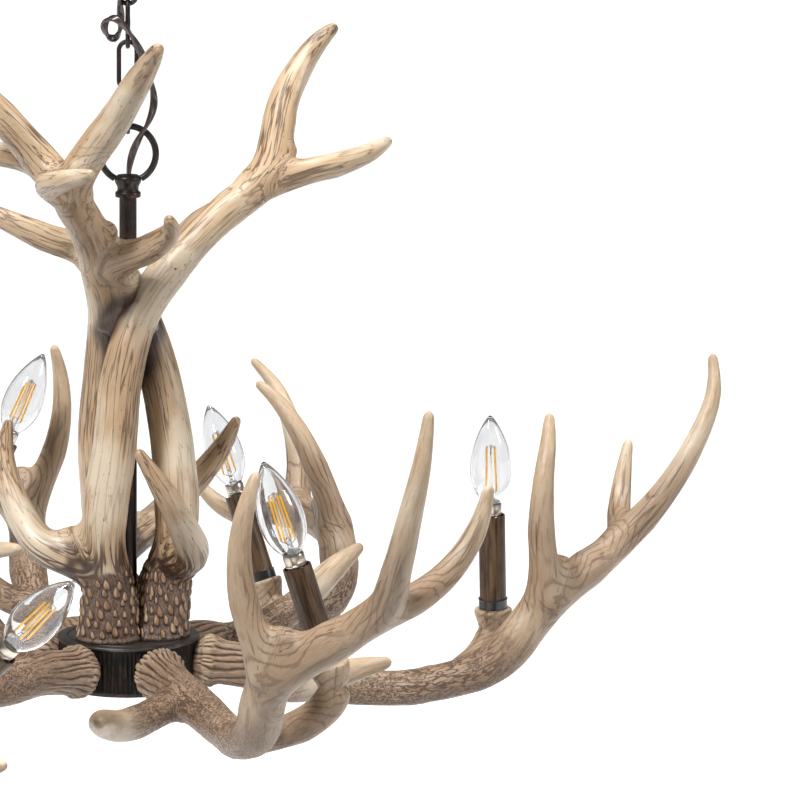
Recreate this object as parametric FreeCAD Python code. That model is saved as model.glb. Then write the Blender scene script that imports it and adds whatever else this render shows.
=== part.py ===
import FreeCAD, Part
import math
import os

# Antler chandelier, hung from a ceiling box by five chain links. Millimetres, +Z up.
# The origin is the centre of the ceiling face, where the mounting strap meets the box.

V = FreeCAD.Vector

# ---------------------------------------------------------------- driving dimensions
# ceiling fittings
strap_length, strap_width, strap_thickness = 104.0, 20.0, 2.0
strap_hole_spacing, strap_hole_diameter = 88.9, 4.8
canopy_diameter, canopy_foot_diameter, canopy_depth, canopy_wall = 125.0, 46.0, 24.0, 1.2
ring_nut_diameter, ring_nut_height = 24.0, 6.0
collar_diameter, collar_drop = 14.0, 12.0
canopy_loop_diameter, canopy_loop_wire = 36.0, 5.0

# chain, top ring and coupling
link_length, link_width, link_wire, link_count = 42.0, 18.0, 3.8, 5
link_gap = 0.3
ring_diameter, ring_wire = 50.0, 5.4
ring_above_hub, coupling_above_hub = 392.4, 375.9
coupling_top_diameter, coupling_diameter, coupling_neck_diameter = 17.2, 21.6, 17.0
coupling_flange_diameter, coupling_height, coupling_flange_height = 20.6, 18.4, 3.2
cord_diameter = 4.4

# stem and its threaded rod
tube_diameter, tube_wall = 14.0, 1.6
rod_diameter, rod_bore = 10.0, 6.4
nut_across_flats, nut_height = 17.0, 5.0

# hub drum
drum_diameter, drum_height, drum_wall = 113.0, 35.0, 2.5
flute_count, flute_depth = 48, 0.9
plate_diameter, plate_thickness = 116.0, 3.0
bolt_diameter, bolt_head_diameter, bolt_head_height, bolt_grip = 5.0, 9.0, 3.0, 18.0
cap_nut_diameter, cap_nut_height = 20.0, 9.0
connector_diameter, connector_length, connector_offset = 12.0, 20.0, 28.0

# candles: collar, sleeve, lamp socket and bulb, measured along the candle from the cup
collar_ring_diameter, collar_ring_height, collar_ring_wall = 23.6, 9.0, 0.7
sleeve_diameter, sleeve_top, sleeve_wall = 22.0, 80.0, 1.5
socket_length, socket_diameter, socket_foot_diameter, socket_recess = 24.0, 18.4, 9.0, 1.5
base_diameter, base_length, cap_diameter, cap_height = 11.8, 16.0, 16.5, 9.5
glass_diameter, glass_length, glass_wall = 35.0, 74.5, 0.9
filament_length, filament_width, filament_count, filament_rise = 36.0, 1.7, 4, 11.0
filament_foot_spread, filament_top_spread = 11.6, 9.2

# clearances
seat_gap, running_gap, hole_clearance = 0.05, 0.08, 0.25

# Antlers are tapering branches. Each point is x, y, z and the branch's radius there.
# Upper antler, foot on the hub's top plate, z from the plate's top face.
upper_foot = (-18.0, -28.0)
upper_burr = [(0, 27.5), (5, 28), (10, 26)]
upper_beam = [(-18, -28, 0, 26.5), (-20, -30, 30, 25), (-21, -33, 65, 22.5), (-18, -35, 100, 19.4),
              (-11, -34, 160, 17.8), (-3, -27, 215, 17.2), (13, -16, 268, 16.2), (44, -3, 311, 15.6),
              (78, 5, 345, 15.2), (110, 12, 372, 16.6), (120, 36, 402, 15), (127, 62, 430, 13.2),
              (141, 87, 456, 11.2), (159, 112, 478, 8.2), (174, 128, 490, 4.4)]
upper_back_tine = [(96, 9, 361, 13.5), (142, 14, 377, 12.6), (170, 31, 382, 10.6), (195, 58, 388, 8.6),
                   (217, 96, 397, 4.4)]
upper_brow_tine = [(-22, -30, 58, 17), (-45, -26, 68, 17), (-70, -18, 79, 15), (-91, 5, 107, 12),
                   (-101, 30, 141, 8.8), (-97, 49, 171, 4.2)]
upper_inner_tine = [(40, -5, 306, 12), (45, 20, 314, 14.6), (50, 45, 322, 12.5), (60, 66, 332, 10.4),
                    (75, 82, 342, 7.6), (97, 91, 354, 4.2)]
# Webs fill the crotches between branches.
upper_webs = [[(96, 12, 366, 13), (116, 22, 384, 13.5), (136, 34, 396, 8)],
              [(48, 0, 320, 12), (53, 15, 326, 11), (56, 27, 331, 8)],
              [(-26, -32, 78, 15), (-44, -27, 86, 11), (-56, -23, 90, 7)]]

# Lower antler: x outwards from the hub's axis, z from the drum's mid height.
arm_burr = [(61, 17.5), (65, 21.2), (71, 21.2), (76, 18.2)]
arm_beam = [(52, 0, 0, 16), (76, -1, -1, 18.2), (106, -2, -4, 18.2), (150, 4, -12, 16.6),
            (200, 1, -15, 14.8), (250, -9, -9, 15.4), (300, -17, 12, 17.2), (333, -21, 55, 18),
            (357, -2, 80, 17), (381, 21, 101, 15.8), (403, 37, 123, 14), (430, 34, 157, 11.2),
            (452, 32, 196, 9.4), (467, 34, 240, 7), (465, 40, 277, 4.2)]
arm_up_tine = [(332, -20, 44, 16), (335, -32, 84, 14.2), (331, -43, 122, 11.2), (331, -46, 158, 9),
               (333, -42, 189, 7), (333, -33, 215, 4.2)]
arm_side_tine = [(384, 24, 104, 13.5), (397, 62, 124, 12.2), (396, 92, 143, 10.4), (398, 113, 173, 8),
                 (402, 121, 208, 4.2)]
arm_brow_tine = [(114, -4, -8, 14), (131, -36, -16, 14.2), (154, -68, -15, 13.2), (184, -95, -3, 10.8),
                 (220, -111, 7, 4.4)]
arm_webs = [[(318, -20, 36, 16.5), (341, -23, 68, 18), (352, -15, 100, 11)],
            [(386, 28, 108, 14), (396, 44, 124, 11.5), (402, 52, 134, 8)]]
cup_stub = [(246, -6, -8, 14), (270, 18, -8, 15), (290, 39, 6, 15), (298, 49, 27, 13.8)]
candle_foot = V(295, 43, 56)
candle_lean = V(-10, -50, 153)
cup_rim_radius, cup_throat_radius, cup_throat_drop = 16.4, 13.2, 13.0
cup_recess = 0.6

# The six lower antlers are one casting, bolted on at equal steps and each turned its own way.
first_arm_azimuth = -127.5
arm_seat_radius = 60.0
arm_turns = [(62.7, 6.5, -4.2), (0.0, -1.1, -1.0), (12.7, -2.1, 0.9), (38.5, -1.8, 1.2),
             (-5.0, 1.0, -2.4), (20.0, 0.0, 0.0)]

beam_sides, tine_sides, burr_sides, bulb_sides, wire_sides = 10, 8, 14, 10, 3
station_step = 34.0

# ---------------------------------------------------------------- heights worked out
arm_step = 360.0 / len(arm_turns)
collar_foot = -canopy_depth - collar_drop
canopy_loop_centre = collar_foot - canopy_loop_diameter / 2 + canopy_loop_wire - 1.0
first_link_top = (canopy_loop_centre - canopy_loop_diameter / 2 + canopy_loop_wire
                  + link_gap + link_wire)
link_pitch = link_length - 2 * link_wire - link_gap
last_link_bottom = first_link_top - (link_count - 1) * link_pitch - link_length
ring_centre = last_link_bottom + link_wire + link_gap + ring_wire - ring_diameter / 2
hub_top = ring_centre - ring_above_hub
coupling_top = hub_top + coupling_above_hub
coupling_foot = coupling_top - coupling_height
drum_top = hub_top - plate_thickness
drum_foot = drum_top - drum_height
arm_height = drum_top - drum_height / 2
rod_foot = drum_foot - plate_thickness - cap_nut_height + 3.0
rod_top = coupling_top - 8.0
bolt_bore = bolt_diameter / 2 + running_gap


def save(name, *solids):
    """Write one named piece, or one group of like pieces, to its own STEP file."""
    shape = solids[0] if len(solids) == 1 else Part.makeCompound(list(solids))
    for solid in shape.Solids:
        if not solid.isValid() or solid.Volume <= 0:
            raise ValueError("bad solid in " + name)
    shape.exportStep("parts/" + name + ".step")
    pieces[name] = shape


def turned(profile):
    """Revolve a closed outline of (radius, z) points about the Z axis."""
    wire = Part.makePolygon([V(r, 0, z) for r, z in profile + profile[:1]])
    return Part.Face(wire).revolve(V(0, 0, 0), V(0, 0, 1), 360)


def polygon_wire(centre, normal, radius, sides, across):
    """A regular polygon of the given mean radius, square to normal."""
    u = (across - normal * across.dot(normal)).normalize()
    w = normal.cross(u)
    reach = radius / math.cos(math.pi / sides) ** 0.5
    corners = []
    for i in range(sides):
        angle = 2 * math.pi * (i + 0.5) / sides
        corners.append(centre + (u * math.cos(angle) + w * math.sin(angle)) * reach)
    return Part.makePolygon(corners + corners[:1])


def lofted(stations, sides):
    """Join polygon sections, given as (centre, direction, radius), with flat-sided walls."""
    across = V(0.31, 0.17, 0.94)
    if abs(stations[0][1].dot(across)) > 0.8:
        across = V(0.94, 0.17, 0.31)
    wires = []
    for centre, direction, radius in stations:
        across = (across - direction * across.dot(direction)).normalize()
        wires.append(polygon_wire(centre, direction, radius, sides, across))
    return Part.makeLoft(wires, True, True)


def branch(points, sides):
    """One tapering branch with a rounded tip, smooth through its (x, y, z, radius) points."""
    centres = [V(x, y, z) for x, y, z, r in points]
    radii = [r for x, y, z, r in points]
    curve = Part.BSplineCurve()
    curve.interpolate(centres)
    marks = [curve.parameter(c) for c in centres]
    marks[0], marks[-1] = curve.FirstParameter, curve.LastParameter
    count = max(3, round(curve.length() / station_step) + 1)
    stations = []
    for k in range(count):
        at = curve.parameterAtDistance(curve.length() * k / (count - 1), curve.FirstParameter)
        at = min(max(at, marks[0]), marks[-1])
        span = max(i for i in range(len(marks) - 1) if marks[i] <= at)
        share = (at - marks[span]) / (marks[span + 1] - marks[span])
        radius = radii[span] + (radii[span + 1] - radii[span]) * share
        stations.append((curve.value(at), curve.tangent(at)[0].normalize(), radius))
    tip, along, radius = stations[-1]
    stations[-1] = (tip - along * radius, along, radius)
    stations.append((tip, along, radius * 0.45))
    return lofted(stations, sides)


def burr(rings, centre, axis):
    """The knobbly ring round an antler's foot, from (distance along axis, radius) pairs."""
    return lofted([(centre + axis * s, axis, r) for s, r in rings], burr_sides)


def ring_half(length, width, wire, sides, steps):
    """Half of a long ring of round wire, standing in XZ with its centre at the origin."""
    bend = (width - wire) / 2
    straight = length / 2 - width / 2
    stations = []
    if straight > 0.01:
        stations.append((V(bend, 0, 0), V(0, 0, 1), wire / 2))
    for i in range(steps + 1):
        angle = math.pi / 2 * i / steps
        centre = V(bend * math.cos(angle), 0, straight + bend * math.sin(angle))
        stations.append((centre, V(-math.sin(angle), 0, math.cos(angle)), wire / 2))
    quarter = lofted(stations, sides)
    return quarter.fuse(quarter.mirror(V(0, 0, 0), V(1, 0, 0)))


def wire_ring(length, width, wire, sides, steps):
    half = ring_half(length, width, wire, sides, steps)
    whole = half.fuse(half.mirror(V(0, 0, 0), V(0, 0, 1))).removeSplitter()
    return Part.Solid(whole.Shells[0]) if whole.ShapeType != "Solid" else whole


def arm_placement(number):
    """Where lower antler number sits: turned about its bolt, then carried round the hub."""
    roll, pitch, yaw = arm_turns[number]
    seat = FreeCAD.Placement(V(arm_seat_radius, 0, arm_height), FreeCAD.Rotation(V(0, 0, 1), yaw))
    tilt = FreeCAD.Placement(V(0, 0, 0), FreeCAD.Rotation(V(0, 1, 0), -pitch))
    twist = FreeCAD.Placement(V(0, 0, 0), FreeCAD.Rotation(V(1, 0, 0), -roll))
    inwards = FreeCAD.Placement(V(-arm_seat_radius, 0, 0), FreeCAD.Rotation())
    azimuth = first_arm_azimuth + arm_step * number
    around = FreeCAD.Placement(V(0, 0, 0), FreeCAD.Rotation(V(0, 0, 1), azimuth))
    return around.multiply(seat).multiply(tilt).multiply(twist).multiply(inwards)


def candle_placement(number):
    """The candle's own frame: its origin on the cup's floor and +Z up the candle."""
    upright = FreeCAD.Rotation(V(0, 0, 1), candle_lean)
    return arm_placement(number).multiply(FreeCAD.Placement(candle_foot, upright))


def placed(shape, placement):
    moved = shape.copy()
    moved.Placement = placement.multiply(shape.Placement)
    return moved


# ---------------------------------------------------------------- ceiling fittings
def mounting_strap():
    strap = Part.makeBox(strap_length, strap_width, strap_thickness,
                         V(-strap_length / 2, -strap_width / 2, -strap_thickness))
    holes = [Part.makeCylinder(strap_hole_diameter / 2, 3 * strap_thickness,
                               V(side * strap_hole_spacing / 2, 0, -2 * strap_thickness))
             for side in (-1, 1)]
    centre = Part.makeCylinder(rod_diameter / 2 + seat_gap, 3 * strap_thickness,
                               V(0, 0, -2 * strap_thickness))
    return strap.cut(holes + [centre])


def threaded_tube(bottom, top):
    outer = Part.makeCylinder(rod_diameter / 2, top - bottom, V(0, 0, bottom))
    return outer.cut(Part.makeCylinder(rod_bore / 2, top - bottom, V(0, 0, bottom)))


def canopy_cup():
    """A spun steel cup: its rim lies on the ceiling and its foot carries the loop."""
    rim, foot, t = canopy_diameter / 2, canopy_foot_diameter / 2, canopy_wall
    bore = collar_diameter / 2 + hole_clearance
    shoulder = canopy_depth * 0.45
    outline = [(rim - t, 0), (rim, 0), (rim, -3), (rim - 7, -shoulder), (foot, -canopy_depth),
               (bore, -canopy_depth), (bore, -canopy_depth + t), (foot - t / 2, -canopy_depth + t),
               (rim - 7 - t, -shoulder + t / 2), (rim - t, -3)]
    return turned(outline)


def canopy_ring_nut():
    """The round nut that holds the cup up, screwed on the loop's collar."""
    outer, inner = ring_nut_diameter / 2, collar_diameter / 2 + seat_gap
    top = -canopy_depth
    low = top - ring_nut_height
    return turned([(inner, top), (outer - 1, top), (outer, top - 1), (outer, low + 2), (outer - 2, low),
                   (inner, low)])


def canopy_loop():
    """Threaded collar with the loop that the top link hangs from. The cord goes up its bore."""
    top = -canopy_depth + 6.0
    collar = Part.makeCylinder(collar_diameter / 2, top - collar_foot, V(0, 0, collar_foot))
    loop = wire_ring(canopy_loop_diameter, canopy_loop_diameter, canopy_loop_wire, 10, 5)
    loop.translate(V(0, 0, canopy_loop_centre))
    thread = Part.makeCylinder(rod_diameter / 2 + seat_gap, 12, V(0, 0, top - 9))
    way = Part.makeCylinder(rod_bore / 2, 60, V(0, 0, canopy_loop_centre))
    return collar.fuse(loop).cut([thread, way])


# ---------------------------------------------------------------- chain, ring and coupling
def chain_link(number):
    """Link number 1 is the top one. Odd links stand in YZ, even ones in XZ."""
    link = wire_ring(link_length, link_width, link_wire, 8, 4)
    if number % 2 == 1:
        link.rotate(V(0, 0, 0), V(0, 0, 1), 90)
    top = first_link_top - (number - 1) * link_pitch
    link.translate(V(0, 0, top - link_length / 2))
    return link


def stem_coupling():
    """Turned coupling on top of the stem, with two ears that take the ring's ends."""
    top, foot = coupling_top, coupling_foot
    tip_r, wide_r = coupling_top_diameter / 2, coupling_diameter / 2
    neck_r, flange_r = coupling_neck_diameter / 2, coupling_flange_diameter / 2
    flange_top = foot + coupling_flange_height
    body = turned([(0, top), (tip_r, top), (wide_r, top - 1.6), (wide_r, top - 6.5), (neck_r, top - 10.5),
                   (neck_r, flange_top + 1.5), (flange_r, flange_top), (flange_r, foot), (0, foot)])
    bore = Part.makeCylinder(rod_diameter / 2 + seat_gap, rod_top - foot + seat_gap, V(0, 0, foot))
    way = Part.makeCylinder(rod_bore / 2, coupling_height, V(0, 0, foot + 1))
    return body.cut([bore, way])


def top_ring():
    """The hanging ring: one loop of wire whose two ends stop in the coupling's sides."""
    ring = wire_ring(ring_diameter, ring_diameter, ring_wire, 10, 6)
    ring.translate(V(0, 0, ring_centre))
    stop = Part.makeCylinder(coupling_diameter / 2 + seat_gap, 2 * coupling_height,
                             V(0, 0, coupling_top - coupling_height))
    return ring.cut(stop)


# The cord leaves the coupling, crosses the ring in front, runs up the chain's right side,
# crosses in front, turns back in a small loop on the left, goes behind the second link from
# the coupling and climbs to the canopy. Heights are above the hub's top plate.
cord_route = [(0, 0, 356), (0, 0, 376), (3, -1, 392), (8.5, -6.5, 405), (16.5, -9, 418), (21, -7, 431),
              (20.5, -5, 443), (17.5, -6, 456), (12.5, -9, 470), (6, -12.5, 483), (-1.5, -13.5, 494),
              (-9, -11.5, 501.5), (-16.5, -7, 500.5), (-19.5, -1.5, 493), (-16, 4.5, 485),
              (-9.8, 8.2, 483.5), (-6.2, 8, 490), (-5.4, 4.6, 498.5), (-5.8, -1, 506.5),
              (-6.6, -5.5, 515), (-7.6, -7.5, 526), (-7.2, -8, 546), (-7.6, -8, 566),
              (-5.5, -8.6, 581), (-1.5, -6, 593), (0, 0, 604), (0, 0, 620)]


def cord_tube(route, diameter):
    """Straight runs joined by arcs, each as large as its two runs allow."""
    points = [V(x, y, z + hub_top) for x, y, z in route]
    turns = []
    for a, b, c in zip(points, points[1:], points[2:]):
        before, after = a - b, c - b
        half_turn = (math.pi - before.getAngle(after)) / 2
        reach = 0.45 * min(before.Length, after.Length)
        before.normalize()
        after.normalize()
        turns.append((b, before, after, reach, reach / math.tan(half_turn)))
    radii = [t[4] for t in turns]
    print("cord radii", " ".join("%.0f" % r for r in radii), "smallest %.1f" % min(radii))
    at, edges = points[0], []
    for corner, before, after, reach, radius in turns:
        start, end = corner + before * reach, corner + after * reach
        inwards = (before + after).normalize()
        depth = math.hypot(radius, reach) - radius
        edges.append(Part.LineSegment(at, start).toShape())
        edges.append(Part.Arc(start, corner + inwards * depth, end).toShape())
        at = end
    edges.append(Part.LineSegment(at, points[-1]).toShape())
    path = Part.Wire(edges)
    circle = Part.Circle(points[0], points[1] - points[0], diameter / 2).toShape()
    tube = path.makePipeShell([Part.Wire([circle])], True, False)
    area = math.pi * diameter ** 2 / 4
    print("cord length %.1f mm, volume / (section x length) = %.4f"
          % (path.Length, tube.Volume / (area * path.Length)))
    return tube


# ---------------------------------------------------------------- stem and hub
def stem_tube():
    outer = Part.makeCylinder(tube_diameter / 2, coupling_foot - hub_top, V(0, 0, hub_top))
    return outer.cut(Part.makeCylinder(tube_diameter / 2 - tube_wall, 1000, V(0, 0, hub_top)))


def stem_nut():
    """Hexagon nut that clamps the top plate against the stem."""
    corner = nut_across_flats / 2 / math.cos(math.pi / 6)
    corners = [V(corner * math.cos(math.radians(60 * i)), corner * math.sin(math.radians(60 * i)),
                 drum_top - nut_height) for i in range(6)]
    nut = Part.Face(Part.makePolygon(corners + corners[:1])).extrude(V(0, 0, nut_height))
    return nut.cut(Part.makeCylinder(rod_diameter / 2 + seat_gap, 3 * nut_height,
                                     V(0, 0, drum_top - 2 * nut_height)))


def upper_azimuths():
    return [120.0 * i for i in range(3)]


def upper_bolt_holes(radius, low, height):
    holes = []
    for azimuth in upper_azimuths():
        hole = Part.makeCylinder(radius, height, V(upper_foot[0], upper_foot[1], low))
        holes.append(hole.rotate(V(0, 0, 0), V(0, 0, 1), azimuth))
    return holes


def arm_bolt_axis(number):
    azimuth = math.radians(first_arm_azimuth + arm_step * number)
    return V(math.cos(azimuth), math.sin(azimuth), 0)


def hub_top_plate():
    plate = Part.makeCylinder(plate_diameter / 2, plate_thickness, V(0, 0, drum_top))
    centre = Part.makeCylinder(rod_diameter / 2 + seat_gap, plate_thickness, V(0, 0, drum_top))
    return plate.cut([centre] + upper_bolt_holes(bolt_bore, drum_top, plate_thickness))


def hub_drum():
    """Fluted drum, open at both ends, with a bolt hole behind each lower antler."""
    outline = []
    for i in range(2 * flute_count):
        radius = drum_diameter / 2 - (flute_depth if i % 2 else 0)
        angle = math.pi * i / flute_count
        outline.append(V(radius * math.cos(angle), radius * math.sin(angle), drum_foot))
    shell = Part.Face(Part.makePolygon(outline + outline[:1])).extrude(V(0, 0, drum_height))
    inside = Part.makeCylinder(drum_diameter / 2 - drum_wall, drum_height, V(0, 0, drum_foot))
    holes = [Part.makeCylinder(bolt_bore, drum_diameter / 2, V(0, 0, arm_height), arm_bolt_axis(i))
             for i in range(len(arm_turns))]
    return shell.cut([inside] + holes)


def hub_bottom_plate():
    plate = Part.makeCylinder(drum_diameter / 2 - flute_depth - 0.6, plate_thickness,
                              V(0, 0, drum_foot - plate_thickness))
    return plate.cut(Part.makeCylinder(rod_diameter / 2 + seat_gap, 3 * plate_thickness,
                                       V(0, 0, drum_foot - 2 * plate_thickness)))


def bottom_cap_nut():
    """Domed nut that holds the bottom plate up against the drum."""
    top = drum_foot - plate_thickness
    r, h = cap_nut_diameter / 2, cap_nut_height
    bore, floor = rod_diameter / 2 + seat_gap, rod_foot - seat_gap
    return turned([(bore, top), (r, top), (r, top - 0.45 * h), (0.6 * r, top - 0.85 * h), (0, top - h),
                   (0, floor), (bore, floor)])


def bolt(foot, axis, length):
    """A round-headed bolt: its head's underside is at foot."""
    shank = Part.makeCylinder(bolt_diameter / 2, length, foot, axis)
    head = Part.makeCone(bolt_head_diameter / 2 - 0.8, bolt_head_diameter / 2, bolt_head_height,
                         foot - axis * bolt_head_height, axis)
    return shank.fuse(head)


def arm_bolts():
    wall = drum_diameter / 2 - drum_wall
    bolts = []
    for i in range(len(arm_turns)):
        axis = arm_bolt_axis(i)
        foot = V(0, 0, arm_height) + axis * (wall - hole_clearance)
        bolts.append(bolt(foot, axis, drum_wall + bolt_grip))
    return bolts


def upper_bolts():
    bolts = []
    for azimuth in upper_azimuths():
        one = bolt(V(upper_foot[0], upper_foot[1], drum_top), V(0, 0, 1), plate_thickness + bolt_grip)
        bolts.append(one.rotate(V(0, 0, 0), V(0, 0, 1), azimuth))
    return bolts


def wire_connectors():
    """Three twist-on connectors that lie on the hub's floor."""
    r, h = connector_diameter / 2, connector_length
    nuts = []
    for i in range(3):
        nut = Part.makeCone(r, 0.55 * r, h, V(connector_offset, -h / 2, drum_foot + r), V(0, 1, 0))
        nuts.append(nut.rotate(V(0, 0, 0), V(0, 0, 1), 60 + 120 * i))
    return nuts


# ---------------------------------------------------------------- antlers
def upper_antler(azimuth):
    """A tall antler: burr, beam that forks at its top, and brow, inner and back tines.

    The beam is relieved where it passes the stem.
    """
    foot = burr(upper_burr, V(upper_foot[0], upper_foot[1], 0), V(0, 0, 1))
    branches = [branch(points, tine_sides) for points in
                [upper_back_tine, upper_brow_tine, upper_inner_tine] + upper_webs]
    antler = branch(upper_beam, beam_sides).fuse([foot] + branches)
    below = Part.makeBox(200, 200, 60, V(upper_foot[0] - 100, upper_foot[1] - 100, -60 + seat_gap))
    hole = Part.makeCylinder(bolt_bore, bolt_grip + 1, V(upper_foot[0], upper_foot[1], 0))
    relief = Part.makeCylinder(tube_diameter / 2 + hole_clearance, coupling_above_hub)
    antler = antler.cut([below, hole, relief])
    antler.rotate(V(0, 0, 0), V(0, 0, 1), azimuth)
    antler.translate(V(0, 0, hub_top))
    return one_solid(antler)


def lower_antler(number):
    """A low arm: burr, beam, brow, up and side tines, and the cup that carries a candle."""
    lean = V(candle_lean).normalize()
    foot = burr(arm_burr, V(0, 0, 0), V(1, 0, 0))
    throat = candle_foot - lean * cup_throat_drop
    x, y, z, r = cup_stub[-1]
    cup = branch(cup_stub + [(throat.x, throat.y, throat.z, cup_throat_radius)], tine_sides)
    rim = lofted([(throat - lean * 4, lean, cup_throat_radius - 1.2), (throat, lean, cup_throat_radius),
                  (candle_foot - lean * 3, lean, cup_rim_radius),
                  (candle_foot + lean * cup_recess, lean, cup_rim_radius)], beam_sides)
    branches = [branch(points, tine_sides) for points in
                [arm_up_tine, arm_side_tine, arm_brow_tine] + arm_webs]
    antler = branch(arm_beam, beam_sides).fuse([foot, cup, rim] + branches)
    seat = Part.makeCylinder(collar_ring_diameter / 2 + seat_gap, 20, candle_foot, lean)
    antler = placed(antler.cut(seat), arm_placement(number))
    axis = arm_bolt_axis(number)
    saddle = Part.makeCylinder(drum_diameter / 2 + seat_gap, 4 * drum_height,
                               V(0, 0, arm_height - 2 * drum_height))
    hole = Part.makeCylinder(bolt_bore, drum_diameter / 2 + bolt_grip + 1, V(0, 0, arm_height), axis)
    return one_solid(antler.cut([saddle, hole]))


def one_solid(shape):
    """The largest solid of a cut shape, whole and without its seams."""
    return max(shape.Solids, key=lambda s: s.Volume)


# ---------------------------------------------------------------- candles
def candle_collar():
    """Black cup ring at the candle's foot, with a floor that the socket stands on."""
    r, t = collar_ring_diameter / 2, collar_ring_wall
    bore, floor = socket_foot_diameter / 2 - 1.5, 1 + seat_gap
    return turned([(bore, seat_gap), (r, seat_gap), (r, collar_ring_height),
                   (r - t, collar_ring_height), (r - t, floor), (bore, floor)])


def candle_sleeve():
    floor = 1 + 2 * seat_gap
    outer = Part.makeCylinder(sleeve_diameter / 2, sleeve_top - floor, V(0, 0, floor))
    return outer.cut(Part.makeCylinder(sleeve_diameter / 2 - sleeve_wall, sleeve_top, V(0, 0, floor)))


def lamp_socket():
    """Lamp holder on its tubular foot, hidden in the sleeve, its bore taking the bulb's base."""
    top = sleeve_top - socket_recess
    low, floor = top - socket_length, 1 + 2 * seat_gap
    r, foot, bore = socket_diameter / 2, socket_foot_diameter / 2, base_diameter / 2 + running_gap
    depth = base_length + socket_recess + 1
    return turned([(foot - 1.5, floor), (foot, floor), (foot, low), (r, low), (r, top), (bore, top),
                   (bore, sleeve_top - depth), (foot - 1.5, sleeve_top - depth)])


def ring_stack(rings, sides):
    """Faceted round shape on the candle's axis from (height, radius) pairs."""
    return lofted([(V(0, 0, s), V(0, 0, 1), r) for s, r in rings], sides)


def glass_rings(shrink):
    """Outline of the flame-shaped glass: full at two fifths, drawn out to a soft tip."""
    neck, full, foot = cap_diameter / 2 - 0.6, glass_diameter / 2, sleeve_top + 0.5 + cap_height
    shares = [(0, neck), (0.09, 0.66 * full), (0.2, 0.9 * full), (0.34, full), (0.5, 0.93 * full),
              (0.68, 0.72 * full), (0.84, 0.43 * full), (0.95, 0.2 * full), (1.0, 0.07 * full)]
    rings = []
    for share, radius in shares:
        height = foot + share * glass_length
        if share == 1.0:
            height -= shrink
        rings.append((height, max(radius - shrink, 0.4)))
    return rings


def bulb_glass():
    outside, inside = [ring_stack(glass_rings(shrink), bulb_sides) for shrink in (0.0, glass_wall)]
    return outside.cut(inside)


def bulb_base():
    """Screw base, metal cap, glass stem, four slanted filaments and the wires that hold them."""
    seat = sleeve_top + 0.5
    screw = Part.makeCylinder(base_diameter / 2, base_length, V(0, 0, seat - base_length))
    cap = Part.makeCylinder(cap_diameter / 2, cap_height, V(0, 0, seat))
    foot = seat + cap_height
    low = foot + filament_rise
    high = low + filament_length
    stem = ring_stack([(foot - 1, 3.4), (low - 4, 1.6), (low, 1.2), (high + 3, 0.5)], 5)
    parts = [cap, stem]
    for i in range(filament_count):
        angle = math.radians(45 + 360 / filament_count * i)
        out = V(math.cos(angle), math.sin(angle), 0)
        start = out * (filament_foot_spread / 2) + V(0, 0, low)
        end = out * (filament_top_spread / 2) + V(0, 0, high)
        axis = (end - start).normalize()
        parts.append(lofted([(start, axis, filament_width / 2), (end, axis, filament_width / 2)], 4))
        for inner, outer in ((V(0, 0, low - 3), start), (V(0, 0, high + 1.5), end)):
            axis = (outer - inner).normalize()
            parts.append(lofted([(inner, axis, 0.35), (outer + axis * 0.3, axis, 0.35)], wire_sides))
    return screw.fuse(parts)


# ---------------------------------------------------------------- build
pieces = {}


def build():
    os.makedirs("parts", exist_ok=True)
    save("mounting_strap", mounting_strap())
    save("canopy_nipple", threaded_tube(-canopy_depth - 2.5, 0.0))
    save("canopy_cup", canopy_cup())
    save("canopy_ring_nut", canopy_ring_nut())
    save("canopy_loop", canopy_loop())
    for number in range(1, link_count + 1):
        save("chain_link_%d" % number, chain_link(number))
    save("top_ring", top_ring())
    save("stem_coupling", stem_coupling())
    save("power_cord", cord_tube(cord_route, cord_diameter))
    save("stem_tube", stem_tube())
    save("threaded_rod", threaded_tube(rod_foot, rod_top))
    save("stem_nut", stem_nut())
    save("hub_top_plate", hub_top_plate())
    save("hub_drum", hub_drum())
    save("hub_bottom_plate", hub_bottom_plate())
    save("bottom_cap_nut", bottom_cap_nut())
    save("arm_bolts", *arm_bolts())
    save("upper_antler_bolts", *upper_bolts())
    save("wire_connectors", *wire_connectors())
    for i, azimuth in enumerate(upper_azimuths()):
        save("upper_antler_%d" % (i + 1), upper_antler(azimuth))
    for i in range(len(arm_turns)):
        save("lower_antler_%d" % (i + 1), lower_antler(i))
    arms = [candle_placement(i) for i in range(len(arm_turns))]
    save("candle_collars", *[placed(candle_collar(), at) for at in arms])
    sleeve, socket, glass, base = candle_sleeve(), lamp_socket(), bulb_glass(), bulb_base()
    for i, at in enumerate(arms):
        save("candle_sleeve_%d" % (i + 1), placed(sleeve, at))
        save("lamp_socket_%d" % (i + 1), placed(socket, at))
        save("bulb_glass_%d" % (i + 1), placed(glass, at))
        save("bulb_base_%d" % (i + 1), placed(base, at))


build()
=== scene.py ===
import bpy, bmesh
import math
import numpy as np
from mathutils import Matrix, Vector, noise


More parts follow.
